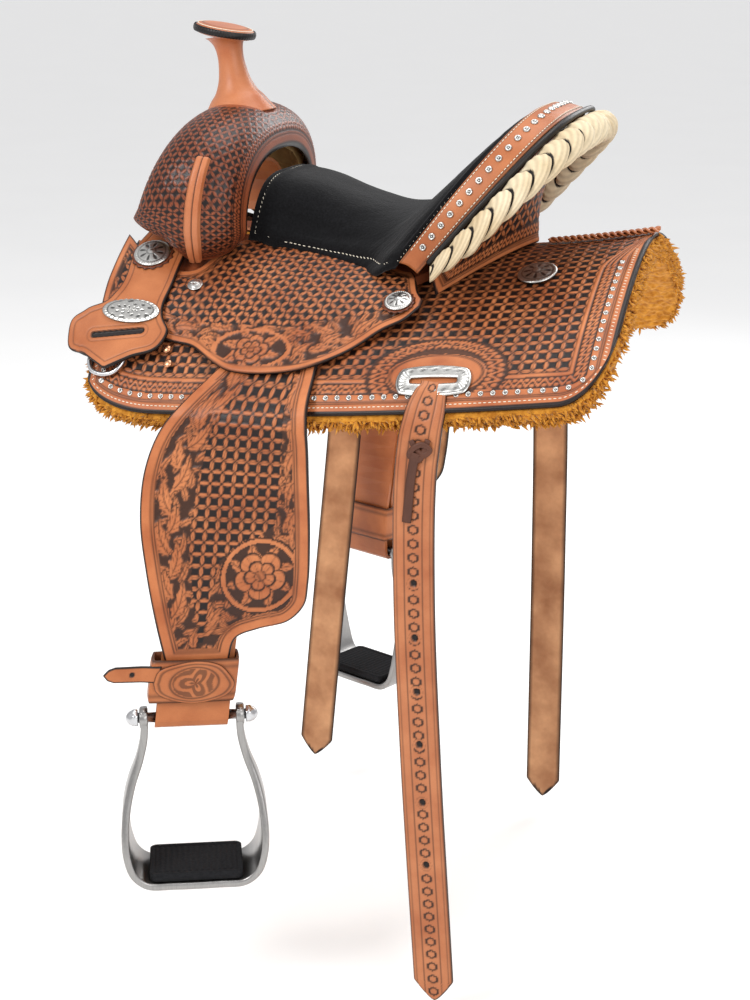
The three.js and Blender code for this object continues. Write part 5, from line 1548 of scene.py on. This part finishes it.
def build_billet(label, side, centre, y_face, holes, body, replaces, over=()):
    """A strap: tooled down its middle, with punched holes and a pointed end."""
    line = spline(centre, 40)
    seg = np.concatenate([[0], np.cumsum(np.linalg.norm(np.diff(line, axis=0), axis=1))])
    hole_z = [float(np.interp(share * seg[-1], seg, line[:, 1])) for share in holes]
    start = over[-1][1] if over else centre[0][1]
    below = line[line[:, 1] < start - 8]
    path = [(float(np.interp(-z, -line[:, 1], line[:, 0])), y, z) for y, z in over]
    path = np.vstack([spline(path, 10)] if over else []) if over else np.zeros((0, 3))
    path = np.vstack([path, np.stack([below[:, 0], np.full(len(below), y_face), below[:, 1]], -1)])
    run = np.concatenate([[0], np.cumsum(np.linalg.norm(np.diff(path, axis=0), axis=1))])
    total = run[-1]
    ahead = unit(np.gradient(path, axis=0))
    u, v = grid(8, 110)
    s = mix(0, total + 24, v)
    half = np.where(s < total, 22, np.maximum(22 * np.clip((total + 24 - s) / 24, 0, 1) ** 0.75, 0.6))
    w = (2 * u - 1) * half
    sc = np.clip(s, 0, total)
    x, y, z = (np.interp(sc, run, path[:, k]) + np.maximum(s - total, 0) * ahead[-1, k] for k in range(3))
    dx, dz = np.interp(sc, run, ahead[:, 0]), np.interp(sc, run, ahead[:, 2])
    x, z = x - dz * w, z + dx * w
    sheet = Sheet(np.stack([x, side * y, z], -1), (0, side, 0))
    sheet.set_flat(w * 1.0, s * 1.0)
    d = 22 - np.abs(w)
    d = np.where(s > total - 10, sheet.d, d)
    sheet.d = np.where(half < 1, 0, d)
    pitch = 15.0
    cell = (s / pitch) % 1 - 0.5
    hexa = np.maximum(np.abs(w) * 0.9, np.abs(w) * 0.45 + np.abs(cell) * pitch * 0.9)
    chain = smooth((5.6 - hexa) / 0.8) * smooth((hexa - 2.9) / 0.8)
    rails = np.exp(-((np.abs(w) - 9.4) / 0.6) ** 2) + np.exp(-((np.abs(w) - 17.5) / 0.55) ** 2)
    h = -0.45 * rails - 0.5 * chain
    dye_and_shade = 0.75 * rails + 0.95 * chain
    # Each hole is a shallow dent whose dark floor is painted shade standing in for the open hole, with a faint darker
    # ring around it.
    for level in hole_z:
        hole = np.hypot(w, s - np.interp(-level, -path[:, 2], run))
        h = np.where(hole < 7, 0.1 - 2.8 * smooth((4.3 - hole) / 1.0), h)
        dye_and_shade = np.where(hole < 7, smooth((4.5 - hole) / 0.9) + 0.3 * (hole > 6.2), dye_and_shade)
    dye_and_shade = np.maximum(dye_and_shade, smooth((1.8 - sheet.d) / 0.9))
    obj = sheet.build(f"{label}_strap", h, np.clip(dye_and_shade, 0, 1), 4.6, BILLET_LEATHER, None if over else body,
                      replaces, 1.8)
    if over:
        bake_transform(obj)
    return obj


def build_billets():
    rear_holes = (.31, .4, .49, .58, .68, .79)
    over = [(238.5, -64), (246, -70), (254, -80), (260.5, -94), (265.5, -112), (266.5, -140)]
    build_billet("left_rear_billet", -1, [[110, -66], [99, -150], [98, -280], [106, -460], [123, -724]],
                 266.5, rear_holes,
                 "left_rear_billet", ("left_rear_billet",), over)
    build_billet("right_rear_billet", 1, [[108, -66], [116, -200], [119, -400], [120, -722]], 266.5,
                 rear_holes,
                 "right_rear_billet", ("right_rear_billet",), over)
    build_billet("right_front_billet", 1, [[-135, -141], [-150, -300], [-168, -480], [-188, -690]], 231,
                 (.35, .46, .57, .68, .79),
                 "right_front_billet", ("right_front_billet",))
    for name, side in SIDES.items():
        build_tie(name, side)


def build_tie(name, side):
    """A lace knotted over the rear billet, with its long end hanging down."""
    cx = 104 if side < 0 else 112
    turns = [(-9, -118, 1.2), (-4, -126, 2.2), (5, -132, 3.2), (11, -126, 2.6), (3, -121, 4.2),
             (-7, -127, 4.6), (-10, -134, 2.4),
             (0, -137, 3.2), (9, -116, 1.4)]
    end = [(-3, -130, 3.6), (-6, -142, 2.2), (-9, -160, 1.2), (-11, -182, 1.0), (-13, -204, 1.2)]
    for label, pts, half in (("knot", turns, 3.0), ("tail", end, 5.0)):
        path = spline([(cx + a, side * (267.2 + c), b) for a, b, c in pts], 10)
        tube(f"{name}_tie_{label}", path, half, LACE, f"{name}_rear_billet",
             up=(0, side, 0), ratio=0.42, count=10)


def finish_nodes():
    """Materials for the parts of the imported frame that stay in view."""
    looks = {"tree_left_bar": SWELL_LEATHER, "tree_right_bar": SWELL_LEATHER, "tree_fork": WOOD,
             "tree_cantle": WOOD, "ground_seat": WOOD,
             "gullet_cover": PLAIN, "horn_core": STEEL}
    for name in SIDES:
        looks[f"{name}_stirrup_loop"] = PLAIN
    for node, material in looks.items():
        obj = bpy.data.objects[node]
        obj.data.materials.clear()
        obj.data.materials.append(material)


stage_scene()
build_skirts()
build_jockeys()
build_plates()
build_conchos()
build_fenders()
build_stirrups()
build_swell()
build_horn()
build_seat()
build_cantle()
build_braid()
build_billets()
finish_nodes()
